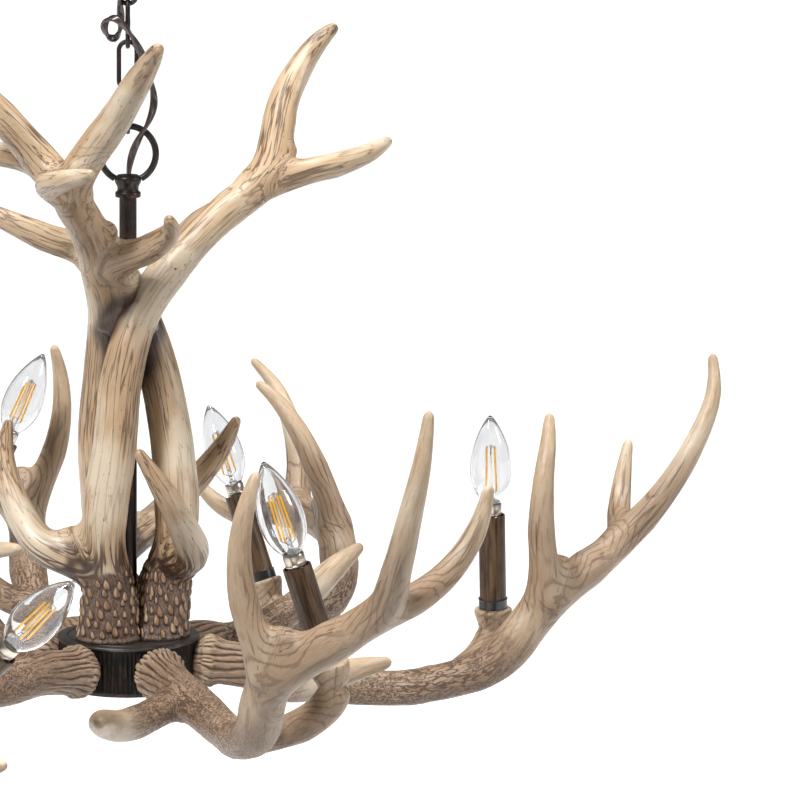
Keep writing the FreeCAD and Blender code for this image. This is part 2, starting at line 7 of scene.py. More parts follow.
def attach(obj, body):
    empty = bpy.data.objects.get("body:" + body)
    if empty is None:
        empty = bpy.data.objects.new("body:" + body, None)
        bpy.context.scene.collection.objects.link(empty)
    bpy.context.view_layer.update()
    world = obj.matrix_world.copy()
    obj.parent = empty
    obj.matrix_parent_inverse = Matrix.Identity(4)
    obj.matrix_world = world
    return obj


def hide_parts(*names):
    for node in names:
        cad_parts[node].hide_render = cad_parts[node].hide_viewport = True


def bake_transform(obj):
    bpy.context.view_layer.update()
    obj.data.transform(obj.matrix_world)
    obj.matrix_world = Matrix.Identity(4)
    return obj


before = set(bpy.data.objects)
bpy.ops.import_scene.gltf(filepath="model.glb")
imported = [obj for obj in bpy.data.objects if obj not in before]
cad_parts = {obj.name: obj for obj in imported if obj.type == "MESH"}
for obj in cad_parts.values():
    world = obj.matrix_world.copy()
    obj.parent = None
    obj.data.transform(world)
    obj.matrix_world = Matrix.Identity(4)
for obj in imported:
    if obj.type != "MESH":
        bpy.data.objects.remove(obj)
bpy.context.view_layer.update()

# ---------------------------------------------------------------- studio
# A white floor, lit by its own sun, far below the hanging lamp, a dim even surround, and three
# soft lights: above the camera's left shoulder, from the right, and from above. The camera has a
# long lens, hangs a little above the antlers and looks slightly down.
scene = bpy.context.scene
shot = bpy.data.cameras.new("shot")
shot.sensor_width, shot.lens, shot.clip_end = 36.0, 169.6, 200.0
camera = bpy.data.objects.new("camera", shot)
yaw, pitch, roll = math.radians(4.17), math.radians(8.41), math.radians(0.55)
ahead = Vector((math.sin(yaw) * math.cos(pitch), math.cos(yaw) * math.cos(pitch), -math.sin(pitch)))
level = Vector((math.cos(yaw), -math.sin(yaw), 0))
upright = level.cross(ahead)
right = level * math.cos(roll) + upright * math.sin(roll)
above = upright * math.cos(roll) - level * math.sin(roll)
camera.matrix_world = Matrix((right, above, -ahead)).transposed().to_4x4()
camera.location = (0, -3.024, -0.0042)
scene.collection.objects.link(camera)
scene.camera = camera


lamp_middle, floor_depth = Vector((0, 0, -0.4)), 2.1


def soft_light(name, at, size, power):
    """A round lamp that points at the middle of the chandelier."""
    light = bpy.data.lights.new(name, "AREA")
    light.shape, light.size, light.energy = "DISK", size, power
    lamp = bpy.data.objects.new(name, light)
    lamp.location = at
    lamp.rotation_euler = (lamp_middle - Vector(at)).to_track_quat("-Z", "Y").to_euler()
    scene.collection.objects.link(lamp)


soft_light("key_light", (-3.0, -3.9, 4.2), 1.5, 420)
soft_light("right_light", (4.8, -1.6, 1.8), 1.5, 95)
soft_light("top_light", (0.3, 0.9, 4.4), 1.6, 165)
world = bpy.data.worlds.new("surround")
world.use_nodes = True
world.node_tree.nodes["Background"].inputs["Color"].default_value = (1, 1, 1, 1)
world.node_tree.nodes["Background"].inputs["Strength"].default_value = 0.24
scene.world = world
scene.view_settings.view_transform = "Standard"

floor_mesh = bpy.data.meshes.new("floor")
sheet = bmesh.new()
bmesh.ops.create_circle(sheet, cap_ends=True, segments=64, radius=60)
bmesh.ops.translate(sheet, verts=sheet.verts, vec=(0, 0, -floor_depth))
sheet.to_mesh(floor_mesh)
sheet.free()
floor = bpy.data.objects.new("floor", floor_mesh)
scene.collection.objects.link(floor)
floor.visible_diffuse = False
daylight = bpy.data.lights.new("floor_light", "SUN")
daylight.energy, daylight.angle = 3.2, 0.5
daylight_lamp = bpy.data.objects.new("floor_light", daylight)
scene.collection.objects.link(daylight_lamp)
lit = bpy.data.collections.new("floor_only")
lit.objects.link(floor)
daylight_lamp.light_linking.receiver_collection = lit


class Field:
    """A number, colour or vector that varies over a surface: one output socket of a material."""

    def __init__(self, finish, socket):
        self.finish, self.socket = finish, socket

    def sum(self, operation, *others):
        return self.finish.node("ShaderNodeMath", {"operation": operation},
                                dict(enumerate((self,) + others)))

    def __add__(self, other): return self.sum("ADD", other)
    def __sub__(self, other): return self.sum("SUBTRACT", other)
    def __mul__(self, other): return self.sum("MULTIPLY", other)
    def __abs__(self): return self.sum("ABSOLUTE")
    __radd__, __rmul__ = __add__, __mul__

    def __rsub__(self, other):
        return self.finish.node("ShaderNodeMath", {"operation": "SUBTRACT"}, {0: other, 1: self})

    def ease(self, low, high):
        """0 below low, 1 above high, smooth between them; low may be the larger."""
        return self.finish.node("ShaderNodeMapRange", {"interpolation_type": "SMOOTHSTEP"},
                                {0: self, 1: low, 2: high})

    def crossing(self, low, high):
        """Thin lines where noise passes its middle value."""
        return abs(self - 0.5).ease(low, high)

    def ripple(self, height):
        """Rises and falls between 0 and height."""
        return self.sum("PINGPONG", height)

    def blend(self, first, second):
        """The colour first where self is 0 and second where it is 1."""
        return self.finish.node("ShaderNodeMix", {"data_type": "RGBA", "clamp_factor": True},
                                {0: self, 6: first, 7: second}, out=2)


class Finish:
    """A procedural material. Constants sit on its shader's sockets; fields are linked to them."""

    def __init__(self, name, **constants):
        self.material = bpy.data.materials.new(name)
        self.material.use_nodes = True
        self.tree = self.material.node_tree
        self.shader = self.tree.nodes["Principled BSDF"]
        for key, value in constants.items():
            self.shader.inputs[key.replace("_", " ").title().replace("Ior", "IOR")].default_value = value

    def node(self, kind, settings=(), sockets=(), out=0):
        made = self.tree.nodes.new(kind)
        for key, value in dict(settings).items():
            setattr(made, key, value)
        for key, value in dict(sockets).items():
            if isinstance(value, Field):
                self.tree.links.new(value.socket, made.inputs[key])
            else:
                made.inputs[key].default_value = value
        return Field(self, made.outputs[out])

    def link(self, **fields):
        for key, value in fields.items():
            self.tree.links.new(value.socket, self.shader.inputs[key.replace("_", " ")])
        return self

    def place(self):
        return self.node("ShaderNodeTexCoord", out="Object")

    def read(self, name, out="Fac"):
        """An attribute stored on the piece's vertices: out is Fac for a number, Vector or Color."""
        return self.node("ShaderNodeAttribute", {"attribute_name": name}, out=out)

    def grain(self, at, scale, detail=3.0, roughness=0.55, distortion=0.0, stretch=None):
        """Noise between 0 and 1. A low number in stretch draws it out along that axis."""
        if stretch:
            at = self.node("ShaderNodeMapping", {}, {"Vector": at, "Scale": stretch})
        return self.node("ShaderNodeTexNoise", {}, {"Vector": at, "Scale": scale, "Detail": detail,
                                                    "Roughness": roughness, "Distortion": distortion})

    def along(self, at, share, *settings):
        """Noise drawn out along the first axis, which runs down an antler's branch."""
        return self.grain(at, *settings, stretch=(share, 1, 1))

    def bump(self, height, distance, strength):
        return self.node("ShaderNodeBump", {}, {"Height": height, "Distance": distance,
                                                "Strength": strength})


pale_floor = Finish("pale_floor", base_color=(0.93, 0.93, 0.93, 1), roughness=0.9)
mottle = pale_floor.grain(pale_floor.place(), 0.8)
pale_floor.link(Base_Color=mottle.blend((0.93, 0.93, 0.93, 1), (0.96, 0.96, 0.96, 1)))
floor.data.materials.append(pale_floor.material)


# ---------------------------------------------------------------- ceiling fittings
# A pressed steel strap screws to the ceiling box. A threaded nipple holds the collar and loop
# below it, and a ring nut on the collar draws the spun steel cup up against the ceiling.
def piece(name, body, finish, shape, replaced=(), sharp=35):
    """Makes a mesh piece out of a bmesh or a mesh, rides it on its body and dresses it."""
    if isinstance(shape, bmesh.types.BMesh):
        mesh = bpy.data.meshes.new(name)
        shape.to_mesh(mesh)
        shape.free()
    else:
        mesh = shape
        mesh.name = name
    mesh.shade_smooth()
    mesh.set_sharp_from_angle(angle=math.radians(sharp))
    made = bpy.data.objects.new(name, mesh)
    scene.collection.objects.link(made)
    mesh.materials.clear()
    mesh.materials.append(finish.material)
    if body:
        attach(made, body)
    if replaced:
        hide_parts(*replaced)
    return made


def dress(finish, *names):
    """Gives carried-over CAD nodes their finish."""
    for name in names:
        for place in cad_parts[name].material_slots:
            place.material = finish.material


def turned(outline, sides=64):
    """A closed outline of (radius, height) points in mm, turned about the Z axis."""
    form = bmesh.new()
    corners = [form.verts.new((r / 1000, 0, z / 1000)) for r, z in outline]
    edges = [form.edges.new(pair) for pair in zip(corners, corners[1:] + corners[:1])]
    bmesh.ops.spin(form, geom=corners + edges, cent=(0, 0, 0), axis=(0, 0, 1), angle=math.tau,
                   steps=sides, use_merge=True)
    bmesh.ops.remove_doubles(form, verts=form.verts, dist=1e-6)
    bmesh.ops.recalc_face_normals(form, faces=form.faces)
    return form


def rubbed_bronze(name, dark, rubbed, wear, roughness):
    """Near-black bronze paint: fine speckle, worn to copper-brown in patches and thin scratches."""
    paint = Finish(name, metallic=0.75, coat_weight=0.12, coat_roughness=0.25)
    at = paint.place()
    cloud = paint.grain(at, 55, 4, 0.6)
    speckle = paint.grain(at, 900, 2, 0.7)
    scratch = paint.grain(at, 420, 2, stretch=(1, 1, 0.12)).crossing(0.035, 0.0)
    worn = (cloud.ease(0.56, 0.72) * speckle.ease(0.42, 0.66) + scratch * 0.35) * wear
    paint.link(Base_Color=worn.blend(dark, rubbed),
               Roughness=cloud * 0.16 + speckle * 0.1 + (roughness - 0.13),
               Normal=paint.bump(speckle * 0.5 + cloud, 0.0004, 0.35))
    return paint


bronze = rubbed_bronze("dark_bronze", dark=(0.019, 0.0165, 0.015, 1), rubbed=(0.13, 0.062, 0.036, 1),
                       wear=0.75, roughness=0.42)

plated = Finish("plated_steel", metallic=1.0)
at = plated.place()
patch = plated.grain(at, 120, 3)
line = plated.grain(at, 60, 2, stretch=(1, 18, 18))
plated.link(Base_Color=patch.blend((0.42, 0.41, 0.38, 1), (0.66, 0.65, 0.62, 1)),
            Roughness=line * 0.22 + 0.22, Normal=plated.bump(line, 0.0002, 0.3))
dress(plated, "mounting_strap", "canopy_nipple")

cup_outside = [(62.5, 0), (62.5, -2.0), (61.6, -3.0), (60.2, -3.6), (59.2, -5.4), (58.2, -7.6),
               (55.6, -10.8), (50, -14.6), (42, -17.8), (34, -20), (28, -21.4), (25, -22.6),
               (23.4, -23.6), (20, -24), (7.4, -24)]
cup_inside = [(7.4, -22.8), (20, -22.8), (24, -21.4), (34, -18.8), (42, -16.6), (50, -13.4),
              (54.8, -9.8), (57, -7), (58.4, -3.4), (60.6, -1.4), (61.3, 0)]
piece("canopy_shell", "ceiling_mount", bronze, turned(cup_outside + cup_inside, 96), ["canopy_cup"])

knurl = turned([(7.1, -24), (11, -24), (11.9, -24.5), (12.1, -25.2), (12.1, -28.0), (11.7, -28.6),
                (10.6, -29.2), (10, -30), (7.1, -30)], 90)
knurls, knurl_depth = 30, 0.022         # the depth is a share of the radius
for corner in knurl.verts:
    if math.hypot(corner.co.x, corner.co.y) > 0.0118:
        turn = math.atan2(corner.co.y, corner.co.x)
        corner.co.xy *= 1 - knurl_depth * (math.cos(knurls * turn) < 0)
piece("knurled_ring_nut", "ceiling_mount", bronze, knurl, ["canopy_ring_nut"])


# ---------------------------------------------------------------- loop, chain and top ring
# Bent and welded steel wire, painted dark bronze: a loop on the canopy's collar, five long
# links, each turned a quarter from the last, and the ring whose ends stop in the coupling.
hub_top = -645.2                        # heights are in mm below the ceiling
link_length, link_width, link_wire = 42.0, 18.0, 3.8
link_pitch, link_play, first_link_top = 34.1, 0.3, -58.9
weld_length, weld_swelling = 1.8, 0.14


def bent_wire(path, wire, closed=True, around=20):
    """Round wire of the given thickness along a path of points, all in mm."""
    line = bpy.data.curves.new("wire", "CURVE")
    line.dimensions = "3D"
    spline = line.splines.new("POLY")
    spline.points.add(len(path) - 1)
    for point, at in zip(spline.points, path):
        point.co = (at[0] / 1000, at[1] / 1000, at[2] / 1000, 1)
    spline.use_cyclic_u = closed
    line.bevel_depth, line.bevel_resolution, line.use_fill_caps = wire / 2000, around // 4, True
    holder = bpy.data.objects.new("wire", line)
    mesh = bpy.data.meshes.new_from_object(holder)
    bpy.data.objects.remove(holder)
    bpy.data.curves.remove(line)
    form = bmesh.new()
    form.from_mesh(mesh)
    bpy.data.meshes.remove(mesh)
    bmesh.ops.remove_doubles(form, verts=form.verts, dist=1e-6)
    bmesh.ops.recalc_face_normals(form, faces=form.faces)
    return form


def oval(length, width, wire, steps=14):
    """Centre line of a long link standing in XZ about the origin."""
    bend, straight = (width - wire) / 2, (length - width) / 2
    points = []
    for end, start in ((1, 0), (-1, 180)):
        for k in range(steps + 1):
            angle = math.radians(start + 180 * k / steps)
            points.append((bend * math.cos(angle), 0, end * straight + bend * math.sin(angle)))
        for k in range(1, 4):
            if straight > 0:
                points.append((-end * bend, 0, end * straight * (1 - k / 2)))
    return points


for number in range(1, 6):
    path = oval(link_length, link_width, link_wire)
    middle = first_link_top - (number - 1) * link_pitch - link_length / 2
    path = [(x, y, z + middle) if number % 2 == 0 else (y, x, z + middle) for x, y, z in path]
    link = bent_wire(path, link_wire)
    core = (link_width - link_wire) / 2000
    for corner in link.verts:           # the weld: a slight swelling half way down one side
        side = corner.co.x if number % 2 == 0 else corner.co.y
        near = math.exp(-((corner.co.z * 1000 - middle) / weld_length) ** 2) * (side > 0.004)
        wire_middle = (core, 0, corner.co.z) if number % 2 == 0 else (0, core, corner.co.z)
        corner.co += (corner.co - Vector(wire_middle)) * weld_swelling * near
    piece("link_wire_%d" % number, "link_%d" % number, bronze, link, ["chain_link_%d" % number])

loop = turned([(3.2, -18), (7, -18), (7, -33.8), (6.4, -34.8), (5.4, -36.4), (3.2, -36.4)], 48)


def open_ring(radius, centre, start, sweep, steps):
    """Centre line, in XZ, of a ring that is open over part of its round."""
    angles = [math.radians(start + sweep * k / steps) for k in range(steps + 1)]
    return [(radius * math.cos(a), 0, centre + radius * math.sin(a)) for a in angles]


bow = bent_wire(open_ring(15.5, -50, 104, 332, 48), 5.0, False)
bow_mesh = bpy.data.meshes.new("bow")
bow.to_mesh(bow_mesh)
bow.free()
loop.from_mesh(bow_mesh)
bpy.data.meshes.remove(bow_mesh)
piece("loop_wire", "ceiling_mount", bronze, loop, ["canopy_loop"])

ring = open_ring(22.3, -252.8, -62, 304, 72)
piece("ring_wire", "chandelier", bronze, bent_wire(ring, 5.4, False, 24), ["top_ring"])

coupling_top = -269.3
profile = [(3.2, 0), (7.6, 0), (8.5, -0.5), (9.6, -1.2), (10.5, -2.2), (10.8, -3.4), (10.7, -5.2),
           (10.2, -6.8), (9.2, -8.6), (8.6, -10.2), (8.5, -12.4), (8.8, -13.2), (9.9, -13.9),
           (10.3, -14.8), (10.3, -17.4), (10.0, -18.2), (9.4, -18.4), (5.1, -18.4), (5.1, -8), (3.2, -8)]
piece("turned_coupling", "chandelier", bronze,
      turned([(r, z + coupling_top) for r, z in profile]), ["stem_coupling"])


# ---------------------------------------------------------------- power cord
# Dark brown flexible cord of two cores side by side. It leaves the coupling, passes in front of
# the ring, climbs the chain with one small turn-back, and goes up through the canopy's collar.
cord_points = [(0, 0, 356), (0, 0, 376), (3, -1, 392), (8.5, -6.5, 405), (16.5, -9, 418), (21, -7, 431),
               (20.5, -5, 443), (17.5, -6, 456), (12.5, -9, 470), (6, -12.5, 483), (-1.5, -13.5, 494),
               (-9, -11.5, 501.5), (-16.5, -7, 500.5), (-19.5, -1.5, 493), (-16, 4.5, 485),
               (-9.8, 8.2, 483.5), (-6.2, 8, 490), (-5.4, 4.6, 498.5), (-5.8, -1, 506.5),
               (-6.6, -5.5, 515), (-7.6, -7.5, 526), (-7.2, -8, 546), (-7.6, -8, 566),
               (-5.5, -8.6, 581), (-1.5, -6, 593), (0, 0, 604), (0, 0, 620)]
core_radius, core_spacing, core_sides = 1.62, 3.0, 14
cord_turns, first_tilt = 4.5, 0.6

section = bpy.data.curves.new("cord_section", "CURVE")
outline = section.splines.new("POLY")
outline.points.add(2 * core_sides - 1)
for k, point in enumerate(outline.points):
    half = 1 if k < core_sides else -1
    angle = math.radians(-74 + 148 * (k % core_sides) / (core_sides - 1)) + (0 if half > 0 else math.pi)
    point.co = ((half * core_spacing / 2 + core_radius * math.cos(angle)) / 1000,
                core_radius * math.sin(angle) / 1000, 0, 1)
outline.use_cyclic_u = True
section_holder = bpy.data.objects.new("cord_section", section)
scene.collection.objects.link(section_holder)
route = bpy.data.curves.new("cord_route", "CURVE")
route.dimensions, route.resolution_u = "3D", 10
line = route.splines.new("NURBS")
line.points.add(len(cord_points) - 1)
for k, (point, (x, y, z)) in enumerate(zip(line.points, cord_points)):
    point.co = (x / 1000, y / 1000, (z + hub_top) / 1000, 1)
    point.tilt = cord_turns * math.tau * k / (len(cord_points) - 1) + first_tilt
line.order_u, line.use_endpoint_u = 3, True
route.bevel_mode, route.bevel_object, route.use_fill_caps = "OBJECT", section_holder, True
route_holder = bpy.data.objects.new("cord_route", route)
scene.collection.objects.link(route_holder)
bpy.context.view_layer.update()
cord_mesh = bpy.data.meshes.new_from_object(route_holder.evaluated_get(
    bpy.context.evaluated_depsgraph_get()))
bpy.data.objects.remove(route_holder)
bpy.data.objects.remove(section_holder)

sheath = Finish("cord_sheath", coat_weight=0.25, coat_roughness=0.2)
at = sheath.place()
wave = sheath.grain(at, 160, 3)
sheath.link(Base_Color=wave.blend((0.022, 0.012, 0.010, 1), (0.048, 0.024, 0.018, 1)),
            Roughness=wave * 0.2 + 0.24, Normal=sheath.bump(sheath.grain(at, 700, 2), 0.0002, 0.4))

chain = ["ceiling_mount"] + ["link_%d" % k for k in range(1, 6)] + ["chandelier"]
first_hinge, bend_reach = first_link_top - link_wire - link_play / 2, 0.011
hinges = [(first_hinge - k * link_pitch) / 1000 for k in range(6)]
cuts = [0.1] + [(first_link_top - k * link_pitch - link_length / 2) / 1000 for k in range(5)] + [-0.4]
for k, hinge in enumerate(hinges):
    part = bmesh.new()
    part.from_mesh(cord_mesh)
    bmesh.ops.remove_doubles(part, verts=part.verts, dist=1e-6)
    for height, up in ((cuts[k], True), (cuts[k + 1], False)):
        bmesh.ops.bisect_plane(part, geom=part.verts[:] + part.edges[:] + part.faces[:], dist=1e-7,
                               plane_co=(0, 0, height), plane_no=(0, 0, 1),
                               clear_outer=up, clear_inner=not up)
        rim = [e for e in part.edges if e.is_boundary]
        if rim:
            bmesh.ops.holes_fill(part, edges=rim)
    bmesh.ops.recalc_face_normals(part, faces=part.faces)
    stretch = piece("cord_stretch_%d" % (k + 1), None, sheath, part, ["power_cord"], 60)
    chain[k + 1]
    hinge + bend_reach
    hinge - bend_reach
    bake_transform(stretch)
bpy.data.meshes.remove(cord_mesh)


# ---------------------------------------------------------------- stem
# A steel tube, painted like the chain, round a threaded rod that ties the coupling to the hub.
dress(bronze, "stem_tube")
dress(plated, "threaded_rod", "stem_nut")


# ---------------------------------------------------------------- hub
# A cast drum with fine vertical flutes, closed by a turned top plate with an engraved line and a
# bottom plate under a domed nut. Round-headed bolts inside it hold the antlers.
drum_top, drum_foot = hub_top - 3.0, hub_top - 38.0
drum_radius, drum_bore, flutes = 56.5, 54.0, 96


def next_row(form, edges):
    """Extrudes a rim of edges, and gives the new row's corners and its edges."""
    grown = bmesh.ops.extrude_edge_only(form, edges=edges)["geom"]
    return ([g for g in grown if isinstance(g, bmesh.types.BMVert)],
            [g for g in grown if isinstance(g, bmesh.types.BMEdge)])


drum = bmesh.new()
levels = [(0, 0), (-0.9, 0.15), (-2.2, 0.6), (-6, 0.9), (-14, 1.0), (-22, 1.0), (-29, 0.9), (-32.6, 0.5),
          (-34.2, 0.1), (-35, -0.35)]       # height below the plate, depth of the flutes
row = bmesh.ops.create_circle(drum, segments=flutes * 6, radius=drum_radius / 1000)["verts"]
edges, rows = list(drum.edges), [row]
for level in levels[1:]:
    row, edges = next_row(drum, edges)
    rows.append(row)
for row, (level, depth) in zip(rows, levels):
    for corner in row:
        turn = math.atan2(corner.co.y, corner.co.x)
        wander = noise.noise(Vector((math.cos(turn) * 9, math.sin(turn) * 9, level * 0.02)))
        wave = math.sin(flutes * turn / 2 + 1.2 * wander) ** 2
        scallop = 0.55 * wave if level <= -34 else 0.0
        reach = drum_radius - max(depth, 0) * (1 - wave) * 0.95 - max(depth, 0) * 0.25 * wander
        corner.co.xy = Vector((math.cos(turn), math.sin(turn))) * reach / 1000
        corner.co.z = (drum_top + level + scallop) / 1000
lip, edges = next_row(drum, edges)
for corner in lip:
    corner.co.xy = corner.co.xy.normalized() * drum_bore / 1000
    corner.co.z = drum_foot / 1000
bore_top, edges = next_row(drum, edges)
for corner in bore_top:
    corner.co.z = drum_top / 1000
bmesh.ops.bridge_loops(drum, edges=[e for e in drum.edges if e.is_boundary])
bmesh.ops.recalc_face_normals(drum, faces=drum.faces)

fluted = Finish("fluted_bronze", specular_ior_level=0.15)
at = fluted.place()
streak = fluted.grain(at, 520, 3, 0.65, stretch=(1, 1, 0.1))
dust = fluted.grain(at, 70, 4, 0.6)
fluted.link(Base_Color=(streak.ease(0.48, 0.75) * dust.ease(0.35, 0.7)).blend(
                (0.004, 0.0028, 0.002, 1), (0.085, 0.055, 0.036, 1)),
            Roughness=streak * 0.3 + 0.36, Normal=fluted.bump(streak + dust * 0.5, 0.0006, 0.6))
piece("fluted_drum", "chandelier", fluted, drum, ["hub_drum"], sharp=70)

plate = turned([(5.1, 0), (48.6, 0), (49.0, -0.7), (49.6, -0.7), (50.0, 0), (56.6, 0), (57.5, -0.3),
                (58.0, -1.0), (58.0, -2.0), (57.5, -2.7), (56.6, -3.0), (5.1, -3.0)], 160)
bmesh.ops.translate(plate, verts=plate.verts, vec=(0, 0, hub_top / 1000))
plate_paint = Finish("plate_bronze", metallic=0.55)
at = plate_paint.place()
cloud, fleck = plate_paint.grain(at, 60, 4, 0.6), plate_paint.grain(at, 700, 2, 0.7)
plate_paint.link(Base_Color=(cloud * 0.7 + fleck * 0.3).ease(0.35, 0.7).blend(
                     (0.030, 0.027, 0.025, 1), (0.095, 0.088, 0.080, 1)),
                 Roughness=cloud * 0.2 + fleck * 0.15 + 0.26,
                 Normal=plate_paint.bump(fleck, 0.0003, 0.4))
piece("engraved_plate", "chandelier", plate_paint, plate, ["hub_top_plate"])
dress(bronze, "hub_bottom_plate", "bottom_cap_nut")
dress(plated, "arm_bolts", "upper_antler_bolts")

moulded = Finish("connector_plastic", coat_weight=0.2)
shade = moulded.grain(moulded.place(), 300, 3)
moulded.link(Base_Color=shade.blend((0.55, 0.16, 0.02, 1), (0.72, 0.24, 0.04, 1)),
             Roughness=shade * 0.2 + 0.3)
dress(moulded, "wire_connectors")


# ---------------------------------------------------------------- upper antlers
# Three castings of one mould, bolted upright on the top plate a third of a turn apart. Each is
# resin with a smooth worn beam, stained brown in its cracks, over a beaded foot. Painted shade
# darkens its crotches, the place under the brow tine and where the antlers cross.
def spline_through(points, step):
    """Points (x, y, z, radius) read evenly, step apart, from a smooth curve through the given ones."""
    p = np.array(points, float)
    gap = np.sqrt(np.linalg.norm(np.diff(p[:, :3], axis=0), axis=1))
    slope = np.zeros_like(p)
    chord = np.diff(p, axis=0) / gap[:, None]
    both = (gap[1:] + gap[:-1])[:, None]
    slope[1:-1] = (chord[:-1] * gap[1:, None] + chord[1:] * gap[:-1, None]) / both
    slope[0], slope[-1] = 1.5 * chord[0] - 0.5 * slope[1], 1.5 * chord[-1] - 0.5 * slope[-2]
    dense = []
    for k in range(len(p) - 1):
        for s in np.linspace(0, 1, 40, endpoint=False):
            dense.append((2 * s**3 - 3 * s**2 + 1) * p[k] + (s**3 - 2 * s**2 + s) * gap[k] * slope[k]
                         + (3 * s**2 - 2 * s**3) * p[k + 1] + (s**3 - s**2) * gap[k] * slope[k + 1])
    dense = np.array(dense + [p[-1]])
    run = np.concatenate([[0], np.cumsum(np.linalg.norm(np.diff(dense[:, :3], axis=0), axis=1))])
    marks = np.linspace(0, run[-1], max(6, int(round(run[-1] / step)) + 1))
    return np.stack([np.interp(marks, run, dense[:, i]) for i in range(4)], 1), marks


block_size = 4000        # how many points of a skin are measured at a time


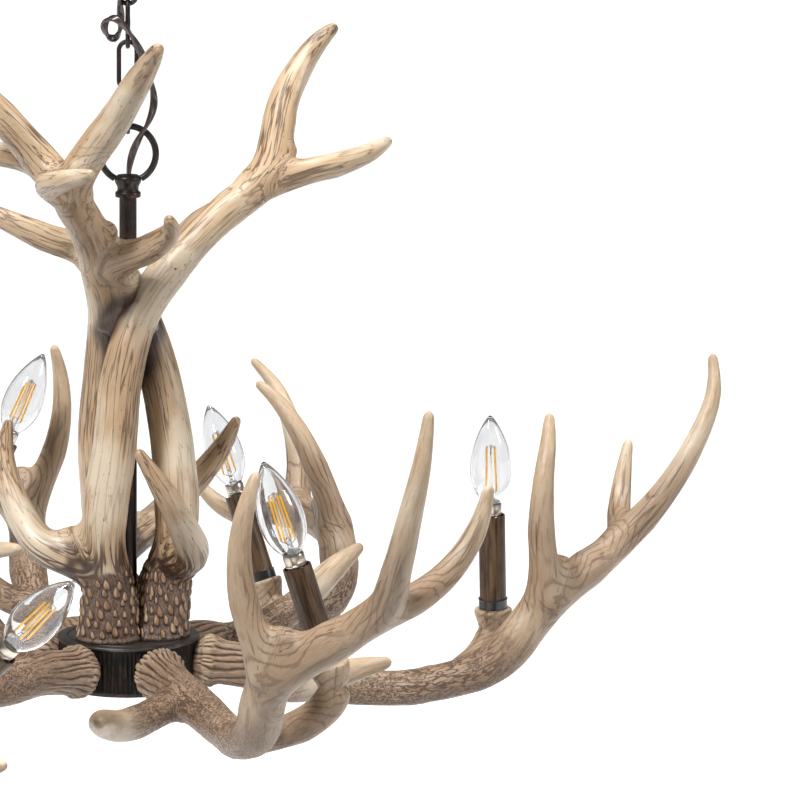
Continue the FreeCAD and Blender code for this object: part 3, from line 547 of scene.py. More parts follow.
class Antler:
    """A mould: branches joined into one skin, with coordinates that run along each branch."""

    def __init__(self, branches, extras, voxel, crotches, crotch_reach, offsets, fine_below):
        self.axis, self.radius, self.run, self.branch, frames = [], [], [], [], []
        skin = bmesh.new()
        for number, points in enumerate(branches):
            line, run = spline_through(points, 3.0)
            tip = line[-1, 3]
            left = run[-1] - run
            line[:, 3] *= np.where(left < tip, np.sqrt(np.clip(1 - (1 - left / tip) ** 2, 0.03, 1)), 1)
            ahead = np.gradient(line[:, :3], axis=0)
            ahead /= np.linalg.norm(ahead, axis=1)[:, None]
            side = np.cross(ahead[0], (0.31, 0.17, 0.94))
            for k in range(len(line)):
                side = side - ahead[k] * side.dot(ahead[k])
                side /= np.linalg.norm(side)
                frames.append((ahead[k], side, np.cross(ahead[k], side)))
            self.axis.append(line[:, :3])
            self.radius.append(line[:, 3])
            self.run.append(run + offsets[number])
            self.branch.append(np.full(len(run), number))
            self.grow(skin, line)
        for line in extras:
            self.grow(skin, np.array(line, float))
        self.axis, self.radius = np.concatenate(self.axis), np.concatenate(self.radius)
        self.run, self.branch = np.concatenate(self.run), np.concatenate(self.branch)
        self.frames = np.array(frames)
        mesh = bpy.data.meshes.new("mould")
        skin.to_mesh(mesh)
        skin.free()
        holder = bpy.data.objects.new("mould", mesh)
        scene.collection.objects.link(holder)
        change = holder.modifiers.new("skin", "REMESH")
        change.mode, change.voxel_size = "VOXEL", voxel / 1000
        bpy.context.view_layer.update()
        self.mesh = bpy.data.meshes.new_from_object(holder.evaluated_get(
            bpy.context.evaluated_depsgraph_get()))
        bpy.data.objects.remove(holder)
        bpy.data.meshes.remove(mesh)
        self.look()
        self.smooth(10, 1.0)
        self.write()
        self.refine(*fine_below)
        self.look()
        self.smooth(3, 1.0)
        near = np.zeros(len(self.points))
        for at, reach in zip(crotches, crotch_reach):
            near = np.maximum(near, 1 - np.linalg.norm(self.points - np.array(at), axis=1) / reach)
        near = np.clip(near, 0, 0.5) * 2
        self.smooth(int(260 / voxel ** 2), near)
        self.write()
        self.measure()

    def look(self):
        """Reads the skin's points, in mm, and its edges."""
        self.points = self.read("vertices", "co", 3) * 1000
        edges = np.empty(len(self.mesh.edges) * 2, np.int32)
        self.mesh.edges.foreach_get("vertices", edges)
        self.edges = edges.reshape(-1, 2)

    def refine(self, axis, limit):
        """Halves the faces that lie below limit, in mm, along an axis."""
        skin = bmesh.new()
        skin.from_mesh(self.mesh)
        close = [e for e in skin.edges if max(v.co[axis] for v in e.verts) < limit / 1000]
        bmesh.ops.subdivide_edges(skin, edges=close, cuts=1, use_grid_fill=True)
        skin.to_mesh(self.mesh)
        skin.free()

    def grow(self, skin, line):
        """Adds one branch to the skin as a tapering tube of 24 sides."""
        path = bpy.data.curves.new("branch", "CURVE")
        path.dimensions = "3D"
        spline = path.splines.new("POLY")
        spline.points.add(len(line) - 1)
        for point, (x, y, z, r) in zip(spline.points, line):
            point.co, point.radius = (x / 1000, y / 1000, z / 1000, 1), r
        path.bevel_depth, path.bevel_resolution, path.use_fill_caps = 0.001, 5, True
        holder = bpy.data.objects.new("branch", path)
        mesh = bpy.data.meshes.new_from_object(holder)
        skin.from_mesh(mesh)
        bpy.data.objects.remove(holder)
        bpy.data.curves.remove(path)
        bpy.data.meshes.remove(mesh)

    def read(self, layer, key, width):
        values = np.empty(len(getattr(self.mesh, layer)) * width, np.float32)
        getattr(self.mesh, layer).foreach_get(key, values)
        return values.reshape(-1, width).astype(float)

    def write(self):
        self.mesh.vertices.foreach_set("co", (self.points / 1000).astype(np.float32).ravel())
        self.mesh.update()

    def smooth(self, times, weight):
        """Moves each point towards the middle of its neighbours."""
        count = len(self.points)
        a, b = self.edges.T
        degree = np.bincount(a, minlength=count) + np.bincount(b, minlength=count)
        weight = np.broadcast_to(weight, (count,)) * 0.5
        for _ in range(times):
            middle = np.stack([np.bincount(a, line[b], count) + np.bincount(b, line[a], count)
                               for line in self.points.T], 1) / degree[:, None]
            self.points += (middle - self.points) * weight[:, None]

    def measure(self):
        """For each point of the skin: how far along its branch, where round it, and how near a join."""
        count = len(self.points)
        self.grain, self.along = np.zeros((count, 3)), np.zeros(count)
        self.at_branch, self.reach = np.zeros(count, int), np.zeros(count)
        numbers = np.unique(self.branch)
        for start in range(0, count, block_size):
            here = slice(start, start + block_size)
            block = self.points[here]
            offset = block[:, None, :] - self.axis[None, :, :]
            distance = np.sqrt((offset ** 2).sum(2))
            depth = distance - self.radius[None, :]
            weights, grains, runs = [], [], []
            for number in numbers:
                mine = np.where(self.branch == number)[0]
                best = mine[np.argmin(distance[:, mine] / np.maximum(self.radius[mine], 4), axis=1)]
                rows = np.arange(len(block))
                away = offset[rows, best]
                ahead, side, up = self.frames[best].transpose(1, 0, 2)
                along = self.run[best] + (away * ahead).sum(1)
                grains.append(np.stack([along, (away * side).sum(1), (away * up).sum(1)], 1))
                runs.append(along)
                weights.append(np.exp(-np.clip(depth[rows, best], -6, 60) / 3.0))
            weights = np.array(weights)
            chosen = weights.argmax(0)
            weights = weights ** 1.5
            weights /= weights.sum(0)
            self.grain[here] = (np.array(grains) * weights[:, :, None]).sum(0)
            self.along[here] = (np.array(runs) * weights).sum(0)
            self.at_branch[here] = numbers[chosen]
            self.reach[here] = weights.max(0)

    def push(self, height):
        """Raises the skin by height, in mm, along its normals."""
        self.write()
        normals = self.read("vertices", "normal", 3)
        self.points += normals * height[:, None]
        self.write()

    def keep(self, name, values):
        """Stores a number or a vector at each point, for the material to read."""
        kind, key = ("FLOAT_VECTOR", "vector") if values.ndim == 2 else ("FLOAT", "value")
        layer = self.mesh.attributes.new(name, kind, "POINT")
        layer.data.foreach_set(key, values.astype(np.float32).ravel())

    def cast(self, name, finish, matrix, node):
        mesh = self.mesh.copy()
        mesh.transform(matrix)
        piece(name, "chandelier", finish, mesh, [node], sharp=180)


def eased(values, low, high):
    """Field.ease for arrays."""
    share = np.clip((values - low) / (high - low), 0, 1)
    return share * share * (3 - 2 * share)


def field(points, scale):
    """Noise read at each point, given in mm, with features about scale mm across."""
    return np.array([noise.noise(Vector(p)) for p in np.asarray(points) / scale])


voxel = 1.35      # mm
upper_foot = (-15.5, -17.5)
# branches as (x, y, height above the top plate, radius)
upper_beam = [(*upper_foot, -4, 26.2), (*upper_foot, 0, 26.2), (-15.5, -21, 20, 24.6),
              (-16, -25.5, 42, 22.2), (-19.8, -33, 79, 18.2), (-19, -34.5, 106, 19),
              (-11, -34, 160, 17.8), (-5, -25, 215, 17.2), (11, -13, 268, 16.4), (44, -3, 311, 15.6),
              (78, 5, 345, 15.2), (110, 12, 372, 16.6), (120, 36, 402, 15), (127, 62, 430, 13.2),
              (141, 87, 456, 11.2), (159, 112, 478, 8.2), (174, 128, 490, 4.4)]
upper_back_tine = [(96, 9, 361, 13.5), (142, 14, 377, 12.6), (170, 31, 382, 10.6), (195, 58, 388, 8.6),
                   (217, 96, 397, 4.4)]
upper_brow_tine = [(-22, -30, 58, 17), (-45, -26, 68, 17), (-70, -18, 79, 15), (-91, 5, 107, 12),
                   (-101, 30, 141, 8.8), (-97, 49, 171, 4.2)]
upper_inner_tine = [(40, -5, 306, 12), (45, 20, 314, 14.6), (50, 45, 322, 12.5), (60, 66, 332, 10.4),
                    (75, 82, 342, 7.6), (97, 91, 354, 4.2)]
upper_webs = [[(96, 12, 366, 13), (116, 22, 384, 13.5), (136, 34, 396, 8)],
              [(52, 0, 325, 13), (58, 13, 335, 10.5), (61, 24, 339, 8)],
              [(12, -10, 250, 13), (12, 2, 274, 11), (23, 10, 291, 12), (38, 17, 306, 13)],
              [(-26, -32, 78, 15), (-44, -27, 86, 11), (-56, -23, 90, 7)]]
foot_ring = [(*upper_foot, z, r) for z, r in ((-4, 27), (1, 27.2), (4, 27.4), (7, 26.8), (10, 25))]
upper = Antler([upper_beam, upper_back_tine, upper_brow_tine, upper_inner_tine],
               [foot_ring] + upper_webs, voxel,
               crotches=[(120, 20, 378), (-40, -27, 78), (54, 12, 318)], crotch_reach=[50, 44, 40],
               offsets=[0, 395, 68, 320], fine_below=(2, 66))
grain, points = upper.grain, upper.points

foot_radius, foot_height, foot_slant, high_side = 27, 60, 6, 0.4
bead_rows, beads_round, row_pitch = 8, 18, 8.3
bead_half_length, bead_half_width, bead_rise = 4.5, 2.35, 1.5
turn = np.arctan2(points[:, 1] - upper_foot[1], points[:, 0] - upper_foot[0])
ragged = 5 * field(np.stack([np.cos(turn), np.sin(turn), turn * 0], 1), 0.24)
lift = points[:, 2] - (foot_height + foot_slant * np.cos(turn - high_side) + ragged)
chance = np.random.default_rng(7)
bead = np.full(len(points), 2.0)        # 0 in a bead's middle, 1 at its rim
for row in range(bead_rows):
    for k in range(beads_round):
        place = k + 0.5 * (row % 2) + chance.uniform(-0.22, 0.22)
        at_turn = math.tau * place / beads_round - math.pi
        at_height = 8.5 + row_pitch * row + chance.uniform(-2.2, 2.2)
        size = chance.uniform(0.6, 1.12)
        if at_height + 1 > foot_height + foot_slant * math.cos(at_turn - high_side):
            continue
        rise = (points[:, 2] - at_height) / (bead_half_length * size)
        across = foot_radius * ((turn - at_turn + math.pi) % math.tau - math.pi) / (bead_half_width * size)
        across = (across + 0.25 * rise) / np.clip(1 - 0.42 * rise, 0.3, 2)
        bead = np.minimum(bead, np.hypot(rise, across))
bead[points[:, 2] > foot_height + 14] = 2.0
beaded = eased(lift, 2, -3)
dome = np.sqrt(np.clip(1.15 - bead ** 2, 0, 1))
swell = field(grain * (0.35, 1, 1), 13) * 0.55 + field(grain * (0.25, 1, 1), 5) * 0.18
flange = 1.4 * eased(points[:, 2], 4.4, 2.6)
height = swell * (1 - beaded) + beaded * (bead_rise * dome - 0.7 + field(points, 4) * 0.3) + flange
height *= eased(points[:, 2], 0.4, 1.6)
upper.keep("grain", grain / 1000)
upper.keep("lift", lift)
upper.keep("bead", bead)
upper.push(height)
stem_relief, foot_facing = 7.3, -129        # mm from the axis, degrees
for side in (-1, 1):                    # the feet are cut flat where they meet
    away = math.radians(foot_facing + 150 * side)
    past = upper.points[:, :2] @ (math.cos(away), math.sin(away)) + 0.1
    past = np.where(upper.points[:, 2] < foot_height, np.clip(past, 0, None), 0)
    upper.points[:, :2] -= past[:, None] * np.array((math.cos(away), math.sin(away)))
outwards = np.hypot(upper.points[:, 0], upper.points[:, 1])     # the beams pass round the stem
upper.points[:, :2] *= np.where(outwards < stem_relief, stem_relief / outwards, 1)[:, None]
upper.write()
touch = np.full(len(upper.points), 99.0)        # mm to the next antlers' branches
for sign in (-1, 1):
    beside = upper.axis @ np.array(Matrix.Rotation(sign * math.tau / 3, 3, "Z")).T
    for start in range(0, len(upper.points), block_size):
        here = slice(start, start + block_size)
        offset = upper.points[here, None, :] - beside[None, :, :]
        away = np.sqrt((offset ** 2).sum(2)) - upper.radius[None, :]
        touch[here] = np.minimum(touch[here], away.min(1))
# Painted shade: darker where the next antlers' branches pass close, in the crotches and under the brow
# tine.
crossing = eased(touch + 6 * field(points, 20), 19, 6) * eased(lift, 0, 25)
root = np.linalg.norm((points - (-34, -28, 60)) / (28, 26, 20), axis=1)
crease_shade = eased(1 - upper.reach, 0.22, 0.55) * eased(field(grain * (0.3, 1, 1), 9), -0.4, 0.4) * 0.55
brow_shadow = eased(root + 0.5 * field(points, 9), 1.2, 0.55)
upper.keep("painted_shade", np.maximum.reduce([crossing, brow_shadow, crease_shade]))
fork = (122, 44, 380)
upper.keep("pit", np.linalg.norm(points - fork, axis=1) + 4 * field(points, 16))

upper_resin = Finish("worn_resin", coat_weight=0.10, coat_roughness=0.3)
at = upper_resin.read("grain", "Vector")
lift, bead, painted_shade, pit = [upper_resin.read(name) for name in ("lift", "bead", "painted_shade", "pit")]
cloud = upper_resin.along(at, 0.35, 38, 4, 0.6)
streak = upper_resin.along(at, 0.06, 330, 4, 0.62)
fine = upper_resin.along(at, 0.12, 1100, 3, 0.7)
vein = upper_resin.along(at, 0.05, 170, 3, 0.5).crossing(0.045, 0.005)
split = upper_resin.along(at, 0.04, 190, 2, 0.5).crossing(0.085, 0.03)
dash = upper_resin.along(at, 0.25, 560, 2, 0.6).ease(0.66, 0.72)
patch = upper_resin.along(at, 0.5, 21, 3, 0.55)
beaded = (lift + (fine - 0.5) * 5).ease(1.5, -1.0)
warm = (streak * 0.6 + cloud * 0.4).ease(0.38, 0.64).blend(
    (0.74, 0.55, 0.355, 1), (0.49, 0.315, 0.175, 1))
warm = (patch.ease(0.48, 0.68) * 0.85).blend(warm, (0.84, 0.72, 0.555, 1))
wash = (streak * 0.5 + patch * 0.5).ease(0.52, 0.40) * (lift.ease(300, 160) * 0.2 + 0.2)
warm = wash.blend(warm, (0.235, 0.120, 0.052, 1))
lines = (vein * (patch.ease(0.62, 0.44) * 0.5 + 0.3) + split * lift.ease(38, 14) * 0.95
         + dash * (cloud.ease(0.42, 0.56) * 0.5 + 0.3)
         + fine.ease(0.60, 0.72) * cloud.ease(0.5, 0.62) * 0.3)
growth = (pit + streak * 5).ripple(3.0)
lines = lines + growth.ease(0.5, 0.1) * pit.ease(46, 26) * patch.ease(0.40, 0.52) * 0.55
body = lines.blend(warm, (0.085, 0.038, 0.018, 1))
# painted shade: dark brown in the crotches, where the antlers cross and under the brow tine
body = (painted_shade * (streak * 0.9 + 0.35).ease(0.35, 0.68)).blend(body, (0.048, 0.024, 0.014, 1))
net = upper_resin.along(at, 0.45, 330, 3, 0.6, 0.4).crossing(0.07, 0.0)
skin = (streak * 0.4 + fine * 0.6).ease(0.38, 0.62).blend(
    (0.036, 0.016, 0.009, 1), (0.19, 0.108, 0.068, 1))
skin = (net * 0.6).blend(skin, (0.31, 0.22, 0.17, 1))
skin = (bead.ease(1.6, 1.05) * 0.85).blend(skin, (0.024, 0.011, 0.007, 1))
bead_top = (streak * 0.4 + cloud * 0.3 + fine * 0.3).ease(0.36, 0.60).blend(
    (0.72, 0.51, 0.32, 1), (0.27, 0.135, 0.065, 1))
skin = bead.ease(1.06, 0.70).blend(skin, bead_top)
relief = (streak * 0.5 + fine * 0.25 - lines * 0.8 + bead.ease(1.3, 0.2) * beaded * 1.2
          + net * beaded * 0.4)
upper_resin.link(Base_Color=beaded.blend(body, skin),
                 Roughness=cloud * 0.14 + streak * 0.12 + beaded * 0.06 + 0.29,
                 Normal=upper_resin.bump(relief, 0.0007, 0.5))

mould = bmesh.new()
mould.from_mesh(upper.mesh)
bmesh.ops.bisect_plane(mould, geom=mould.verts[:] + mould.edges[:] + mould.faces[:], dist=1e-6,
                       plane_co=(0, 0, 0.0001), plane_no=(0, 0, 1), clear_inner=True)
bmesh.ops.holes_fill(mould, edges=[e for e in mould.edges if e.is_boundary])
mould.to_mesh(upper.mesh)
mould.free()
for number in range(3):
    seat = Matrix.Translation((0, 0, hub_top / 1000)) @ Matrix.Rotation(number * math.tau / 3, 4, "Z")
    upper.cast("upper_casting_%d" % (number + 1), upper_resin, seat, "upper_antler_%d" % (number + 1))
bpy.data.meshes.remove(upper.mesh)


# ---------------------------------------------------------------- lower antlers
# Six castings of a second mould, bolted round the drum and each turned a little its own way:
# a knobbly burr, a gnarled beam, smooth tines and a short stub with a cup for the candle.
# branches as (distance from the axis, across, height over the bolt, radius)
arm_beam = [(54.5, 0, 0, 16.5), (76, -1, -1, 18.2), (106, -2, -4, 18.2), (150, 4, -12, 16.6),
            (200, 1, -15, 14.8), (250, -9, -9, 15.4), (300, -17, 12, 17.2), (333, -21, 55, 18),
            (357, -2, 80, 17), (381, 21, 101, 15.8), (403, 37, 123, 14), (430, 34, 157, 11.2),
            (452, 32, 196, 9.4), (467, 34, 240, 7), (465, 40, 277, 4.2)]
arm_up_tine = [(332, -20, 44, 16), (335, -32, 84, 14.2), (331, -43, 122, 11.2), (331, -46, 158, 9),
               (333, -42, 189, 7), (333, -33, 215, 4.2)]
arm_side_tine = [(384, 24, 104, 13.5), (397, 62, 124, 12.2), (396, 92, 143, 10.4), (398, 113, 173, 8),
                 (402, 121, 208, 4.2)]
arm_brow_tine = [(114, -4, -8, 14), (131, -36, -16, 14.2), (154, -68, -15, 13.2), (184, -95, -3, 10.8),
                 (220, -111, 7, 4.4)]
arm_webs = [[(318, -20, 36, 16.5), (341, -23, 68, 18), (352, -15, 100, 11)],
            [(386, 28, 108, 14), (396, 44, 124, 11.5), (402, 52, 134, 8)]]
candle_foot, lean = Vector((295, 43, 56)), Vector((-10, -50, 153)).normalized()
throat = candle_foot - lean * 13
cup_stub = [(244, -6, -7, 14), (262, 12, -4, 14), (281, 33, 9, 13.6), (293, 47, 28, 13.4),
            (*throat, 13.2)]
cup_rim = [(*(candle_foot + lean * s), r)
           for s, r in ((-17, 12.0), (-13, 13.2), (-6, 15.4), (-3, 16.4), (0.6, 16.4))]
burr_ring = [(x, 0, 0, r)
             for x, r in ((58, 17), (61, 18.6), (64, 21), (72, 21.2), (76, 18.6), (79, 17.5))]
lower = Antler([arm_beam, arm_up_tine, arm_side_tine, arm_brow_tine, cup_stub],
               [burr_ring, cup_rim] + arm_webs, voxel,
               crotches=[(338, -22, 72), (390, 32, 110), (128, -18, -12), (266, 6, -7)],
               crotch_reach=[52, 38, 36, 32], offsets=[0, 290, 350, 60, 195], fine_below=(0, 96))
grain, points, at_branch = lower.grain, lower.points, lower.at_branch
smooth_from = np.array([232, 240, 300, 110, 215])[at_branch]      # mm along each branch
fade = np.array([70, 60, 35, 40, 50])[at_branch]
gnarl = 1 - eased(lower.along + 12 * field(points, 22), smooth_from, smooth_from + fade)
cup_near = np.array([(Vector(p) - candle_foot).dot(lean) for p in points])
near_cup = eased(np.linalg.norm(points - np.array(candle_foot), axis=1), 34, 22)
turn = np.arctan2(points[:, 1], points[:, 2])
wobble = field(np.stack([np.cos(turn) * 20, np.sin(turn) * 20, points[:, 0] * 0.3], 1), 9)
near_burr = eased(points[:, 0] + 14 * field(points, 15), 140, 92) * (at_branch == 0)
ring_band = eased(points[:, 0], 60, 63) * eased(points[:, 0] + 4 * wobble, 73, 69) * (at_branch == 0)
knobs, ridges = 28, 20                  # round the burr, and round the beam next to it
knob = np.abs(np.cos(knobs / 2 * turn + 3.2 * wobble))
ridge = np.abs(np.cos(ridges / 2 * turn + 2.2 * wobble + 0.02 * points[:, 0])) ** 0.7
gutter = eased(knob, 0.55, 0.15) * ring_band + eased(ridge, 0.78, 0.30) * near_burr * (1 - ring_band)
bent = field(grain * (0.4, 1, 1) + 60, 17)
worm = field(grain * (0.3, 1, 1) + 11, 4.6)
height = gnarl * (0.5 * worm + 0.7 * bent) + (1 - gnarl) * field(grain * (0.3, 1, 1), 12) * 0.4
height = (height * (1 - ring_band) * (1 - 0.8 * near_cup)
          + near_burr * (1 - ring_band) * (1.5 * ridge - 1.3))
height += ring_band * (2.8 * np.sqrt(knob) - 1.5 + 0.7 * field(points, 6))
height *= eased(points[:, 0], 56, 61)
height = np.where(cup_near > -0.6, 0.0, height)
lower.keep("grain", grain / 1000)
lower.keep("gnarl", gnarl * (1 - 0.6 * near_cup))
lower.keep("gutter", gutter)
lower.keep("ring", ring_band)
lower.keep("root", near_burr)
# painted shade in the crotches, where the branches join
lower.keep("painted_shade", eased(1 - lower.reach, 0.22, 0.55) * (1 - near_cup))
crotches = np.array([(345, -22, 95), (408, 50, 140), (288, 12, 14), (132, -20, -12)])
plane_normals = np.array([(0.706, -0.701, -0.095), (-0.790, -0.347, 0.506),
                          (-0.617, -0.158, 0.771), (0.1, 0.1, 0.99)])
away = np.linalg.norm(points[:, None, :] - crotches[None, :, :], axis=2)
nearest, away = away.argmin(1), away.min(1)
across = ((points - crotches[nearest]) * plane_normals[nearest]).sum(1)
lower.keep("pit", away + 5 * field(points, 18))
lower.keep("flow", across + 0.6 * np.minimum(away, 34) + 2.5 * field(points, 30))
lower.push(height)

lower_resin = Finish("gnarled_resin", coat_weight=0.05, coat_roughness=0.35)
at = lower_resin.read("grain", "Vector")
rough, groove, ring, root, painted_shade, pit, flow = [
    lower_resin.read(name) for name in ("gnarl", "gutter", "ring", "root", "painted_shade", "pit", "flow")]
cloud = lower_resin.along(at, 0.4, 34, 4, 0.6)
streak = lower_resin.along(at, 0.07, 300, 4, 0.62)
fine = lower_resin.along(at, 0.2, 950, 3, 0.7)
worm = lower_resin.along(at, 0.3, 290, 2, 0.5, 0.5).crossing(0.085, 0.03)
curl = lower_resin.along(at, 0.6, 400, 2, 0.5, 0.9).crossing(0.09, 0.03)
vein = lower_resin.along(at, 0.03, 260, 2, 0.5).ease(0.58, 0.66)
patch = lower_resin.along(at, 0.5, 22, 3, 0.55)
smooth_skin = (streak * 0.65 + cloud * 0.35).ease(0.40, 0.64).blend(
    (0.72, 0.55, 0.375, 1), (0.47, 0.32, 0.195, 1))
smooth_skin = (patch.ease(0.48, 0.68) * 0.8).blend(smooth_skin, (0.84, 0.735, 0.575, 1))
rough_skin = (streak * 0.6 + fine * 0.4).ease(0.38, 0.62).blend(
    (0.62, 0.475, 0.34, 1), (0.28, 0.175, 0.108, 1))
wash = (streak * 0.75 + patch * 0.25).ease(0.50, 0.40) * 0.35
# painted shade: the skin turns darker brown towards the crotches
skin = (pit.ease(95, 30) * 0.62).blend(rough.blend(smooth_skin, rough_skin), (0.30, 0.19, 0.112, 1))
skin = wash.blend(skin, (0.17, 0.095, 0.052, 1))
growth = (flow + streak * 4).ripple(2.6)
growth = growth.ease(1.0, 0.25) * pit.ease(66, 42) * cloud.ease(0.34, 0.46) * (1 - rough * 0.7)
choice = patch.ease(0.46, 0.54)
squiggle = worm * (1 - choice) + curl * choice
lines = (groove * 0.95 + squiggle * rough * (1 - ring) * (1 - root * 0.8) * 0.9
         + vein * (1 - rough) * pit.ease(120, 50) * 0.6 + fine.ease(0.58, 0.72) * 0.3)
skin = (growth * 0.7).blend(skin, (0.17, 0.095, 0.052, 1))
skin = lines.blend(skin, (0.075, 0.036, 0.020, 1))
# painted shade: darker brown in the crotches
skin = (painted_shade * streak.ease(0.40, 0.62) * 0.6).blend(skin, (0.09, 0.05, 0.03, 1))
skin = (ring * (1 - groove) * 0.45).blend(skin, (streak * 0.5 + fine * 0.5).ease(0.35, 0.65).blend(
    (0.62, 0.49, 0.34, 1), (0.40, 0.28, 0.17, 1)))
lower_resin.link(Base_Color=skin, Roughness=cloud * 0.16 + streak * 0.12 + rough * 0.10 + 0.34,
                 Normal=lower_resin.bump(streak * 0.4 + fine * 0.3 - lines * 1.0, 0.0008, 0.6))

arm_turns = [(62.7, 6.5, -4.2), (0.0, -1.1, -1.0), (12.7, -2.1, 0.9), (38.5, -1.8, 1.2),
             (-5.0, 1.0, -2.4), (20.0, 0.0, 0.0)]       # roll, pitch and yaw about the bolt, degrees
arm_height, first_arm, pivot = drum_top - 17.5, -127.5, 60.0
arm_seats = []
for number, (roll, pitch, yaw) in enumerate(arm_turns):
    seat = (Matrix.Rotation(math.radians(first_arm + 60 * number), 4, "Z")
            @ Matrix.Translation((pivot / 1000, 0, arm_height / 1000))
            @ Matrix.Rotation(math.radians(yaw), 4, "Z") @ Matrix.Rotation(math.radians(-pitch), 4, "Y")
            @ Matrix.Rotation(math.radians(-roll), 4, "X") @ Matrix.Translation((-pivot / 1000, 0, 0)))
    arm_seats.append(seat)
    lower.cast("lower_casting_%d" % (number + 1), lower_resin, seat, "lower_antler_%d" % (number + 1))
bpy.data.meshes.remove(lower.mesh)


# ---------------------------------------------------------------- candles
# On each cup stands a black pressed collar with a dark brown tube over the lamp holder. The
# holder is a black moulding with a nickel screw shell that shows at the tube's open top.
leaning = Vector((0, 0, 1)).rotation_difference(lean).to_matrix().to_4x4()
candle_frames = [seat @ Matrix.Translation(candle_foot / 1000) @ leaning for seat in arm_seats]


def on_candles(name, finish, outline, node, sides=48, body="chandelier", sharp=35):
    """The same turned piece on every candle: outline is (radius, distance from the cup) in mm.

    A # in the name of a node or body stands for the candle's number."""
    for number, seat in enumerate(candle_frames, 1):
        form = turned(outline, sides)
        bmesh.ops.transform(form, matrix=seat, verts=form.verts)
        piece("%s_%d" % (name, number), body.replace("#", str(number)), finish, form,
              [node.replace("#", str(number))], sharp=sharp)


black = Finish("black_enamel", metallic=0.2, coat_weight=0.3, coat_roughness=0.2)
mist = black.grain(black.place(), 500, 3)
black.link(Base_Color=mist.blend((0.008, 0.008, 0.009, 1), (0.022, 0.021, 0.021, 1)),
           Roughness=mist * 0.2 + 0.28, Normal=black.bump(mist, 0.0002, 0.3))
collar = [(3, 0.05), (11.2, 0.05), (11.8, 0.5), (11.8, 7.8), (12.15, 8.2), (12.2, 8.7), (11.9, 9.0),
          (11.3, 9.0), (11.15, 8.7), (11.1, 1.05), (3, 1.05)]
on_candles("collar_ring", black, collar, "candle_collars")

sleeve = Finish("candle_tube", specular_ior_level=0.3)
at = sleeve.read("tube", "Vector")
streak = sleeve.grain(at, 620, 4, 0.65, stretch=(1, 1, 0.05))
cloud = sleeve.grain(at, 120, 3, stretch=(1, 1, 0.3))
sleeve.link(Base_Color=(streak * 0.75 + cloud * 0.25).ease(0.36, 0.66).blend(
                (0.030, 0.016, 0.009, 1), (0.165, 0.095, 0.050, 1)),
            Roughness=streak * 0.25 + 0.30, Normal=sleeve.bump(streak, 0.0003, 0.5))
nickel = Finish("nickel_plate", metallic=1.0)
wear = nickel.grain(nickel.place(), 400, 3)
nickel.link(Base_Color=wear.blend((0.32, 0.28, 0.235, 1), (0.50, 0.45, 0.39, 1)),
            Roughness=wear * 0.2 + 0.22)
for number, seat in enumerate(candle_frames, 1):
    tube = turned([(9.5, 1.1), (11, 1.1), (11, 79.4), (10.7, 80), (9.8, 80), (9.5, 79.6)], 56)
    bmesh.ops.subdivide_edges(tube, edges=[e for e in tube.edges
                                           if abs(e.verts[0].co.z - e.verts[1].co.z) > 0.05], cuts=6)
    layer = tube.verts.layers.float_vector.new("tube")
    for corner in tube.verts:
        corner[layer] = corner.co + Vector((0.3 * (number - 1), 0, 0))      # its own streaks
    bmesh.ops.transform(tube, matrix=seat, verts=tube.verts)
    piece("candle_tube_%d" % number, "chandelier", sleeve, tube, ["candle_sleeve_%d" % number])
holder = [(3, 1.1), (4.5, 1.1), (4.5, 54.5), (9.2, 54.5), (9.4, 55.5), (9.4, 76.5), (9.1, 77.2),
          (8.2, 77.6), (7.2, 77.6), (6.9, 77.2), (6.9, 62.5), (3, 62.5)]
shell = [(6.05, 63), (6.75, 63), (6.75, 77.9), (7.4, 78.1), (7.4, 78.4), (6.3, 78.4), (6.05, 78)]
on_candles("holder", black, holder, "lamp_socket_#")
on_candles("holder_shell", nickel, shell, "lamp_socket_#")


# ---------------------------------------------------------------- bulbs
# Clear blown candle bulbs with a plated screw base and cap. Inside, a drawn glass stem carries
# four amber filament sticks, slanted in two pairs, on thin nickel wires.
seat_height = 80.5                      # mm from the cup to the socket's rim
cap_top, thread_turns, thread_pitch = seat_height + 9.5, 6, 2.3
thread_crest = [(5.35, 0), (5.9, 0.8), (5.9, 1.3), (5.35, 2.1)]
cap = [(0, -17.0), (2.2, -17.0), (3.0, -16.2), (5.2, -16.0)]
for k in range(thread_turns):
    cap += [(r, z - 15.0 + thread_pitch * k) for r, z in thread_crest]
cap += [(5.4, -0.4), (7.6, 0), (8.1, 0.5), (8.1, 1.6), (7.8, 2.0), (8.15, 2.6), (8.25, 8.4), (8.0, 9.3),
        (7.6, 9.5), (0, 9.5)]
on_candles("bulb_cap", nickel, [(r, seat_height + z) for r, z in cap], "bulb_base_#", 48, "bulb_#")

bulb_length, glass_wall = 74.5, 0.8
profile = [(0.0, 7.4), (0.03, 8.6), (0.07, 10.9), (0.12, 13.1), (0.18, 15.1), (0.25, 16.6), (0.33, 17.4),
           (0.40, 17.5), (0.48, 17.1), (0.56, 16.1), (0.64, 14.6), (0.72, 12.6), (0.79, 10.4),
           (0.85, 8.2), (0.90, 6.1), (0.94, 4.3), (0.97, 2.8), (0.99, 1.4), (1.0, 0)]
outside = [(r, cap_top - 0.3 + share * bulb_length) for share, r in profile]
inside = [(max(r - glass_wall, 0), z - (0.7 if share > 0.9 else 0))
          for (share, r), (_, z) in zip(profile, outside) if share < 0.985]
inside.append((0, outside[-1][1] - 2.4))
glass = Finish("clear_glass", transmission_weight=1.0, ior=1.45)
sheen = glass.grain(glass.place(), 30, 2)
glass.link(Base_Color=sheen.blend((0.82, 0.825, 0.835, 1), (0.85, 0.855, 0.865, 1)),
           Roughness=sheen * 0.02)
on_candles("bulb_envelope", glass, outside + inside[::-1], "bulb_glass_#", 64, "bulb_#", 180)
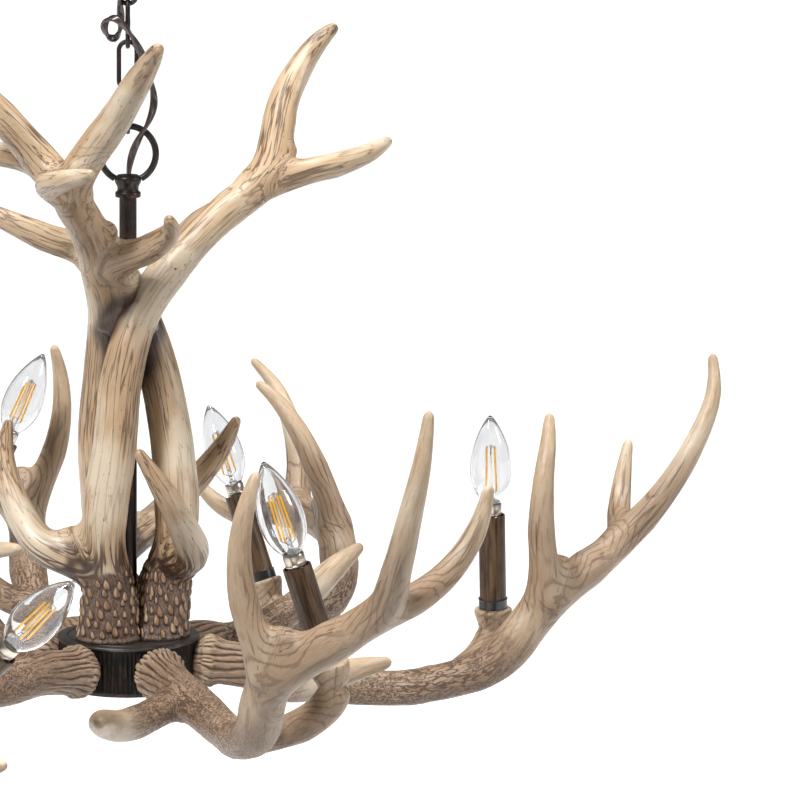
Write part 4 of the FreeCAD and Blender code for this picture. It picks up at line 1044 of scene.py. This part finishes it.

# The faint emission is a painted glow that brightens the amber sticks.
amber = Finish("amber_filament", emission_strength=0.25)
band = amber.grain(amber.place(), 900, 2)
amber.link(Base_Color=band.blend((0.95, 0.47, 0.03, 1), (0.98, 0.60, 0.08, 1)),
           Emission_Color=band.blend((1.0, 0.42, 0.02, 1), (1.0, 0.52, 0.05, 1)),
           Roughness=band * 0.2 + 0.4)
stem_glass = Finish("stem_glass", transmission_weight=0.9, ior=1.45)
milk = stem_glass.grain(stem_glass.place(), 300, 2)
stem_glass.link(Base_Color=milk.blend((0.93, 0.93, 0.92, 1), (1, 1, 1, 1)), Roughness=milk * 0.1 + 0.02)
glass_stem = [(0, -0.2), (4.2, -0.2), (3.6, 2), (2.4, 4.6), (1.9, 8), (2.5, 10.6), (1.6, 12.4), (0.9, 14),
              (0.75, 47), (1.3, 48.2), (0.9, 49.4), (0, 49.6)]
on_candles("bulb_stem", stem_glass, [(r, cap_top + z) for r, z in glass_stem], "bulb_base_#", 24,
           "bulb_#", 60)


def stick(form, foot, top, radius, sides):
    """A straight rod between two points, in mm."""
    foot, top = Vector(foot) / 1000, Vector(top) / 1000
    made = bmesh.ops.create_cone(form, cap_ends=True, segments=sides, radius1=radius / 1000,
                                 radius2=radius / 1000, depth=(top - foot).length)["verts"]
    turn = (top - foot).to_track_quat("Z", "Y").to_matrix().to_4x4()
    bmesh.ops.transform(form, matrix=Matrix.Translation((foot + top) / 2) @ turn, verts=made)


low_end, high_end = cap_top + 11, cap_top + 47
stick_radius, wire_radius = 0.85, 0.25
for number, seat in enumerate(candle_frames, 1):
    sticks, wires = bmesh.new(), bmesh.new()
    for k in range(4):
        angle = math.radians(45 + 90 * k)
        side = Vector((math.cos(angle), math.sin(angle), 0))
        foot, top = side * 5.8 + Vector((0, 0, low_end)), side * 4.6 + Vector((0, 0, high_end))
        stick(sticks, foot.lerp(top, 0.02), foot.lerp(top, 0.98), stick_radius, 12)
        stick(wires, (0, 0, low_end - 4.0), foot, wire_radius, 8)
        stick(wires, foot, foot.lerp(top, 0.03), 0.55, 8)
        stick(wires, foot.lerp(top, 0.97), top, 0.55, 8)
        stick(wires, top, (0, 0, high_end + 1.6), wire_radius, 8)
    for name, form, finish in (("filaments", sticks, amber), ("filament_wires", wires, nickel)):
        bmesh.ops.transform(form, matrix=seat, verts=form.verts)
        piece("%s_%d" % (name, number), "bulb_%d" % number, finish, form, ["bulb_base_%d" % number])
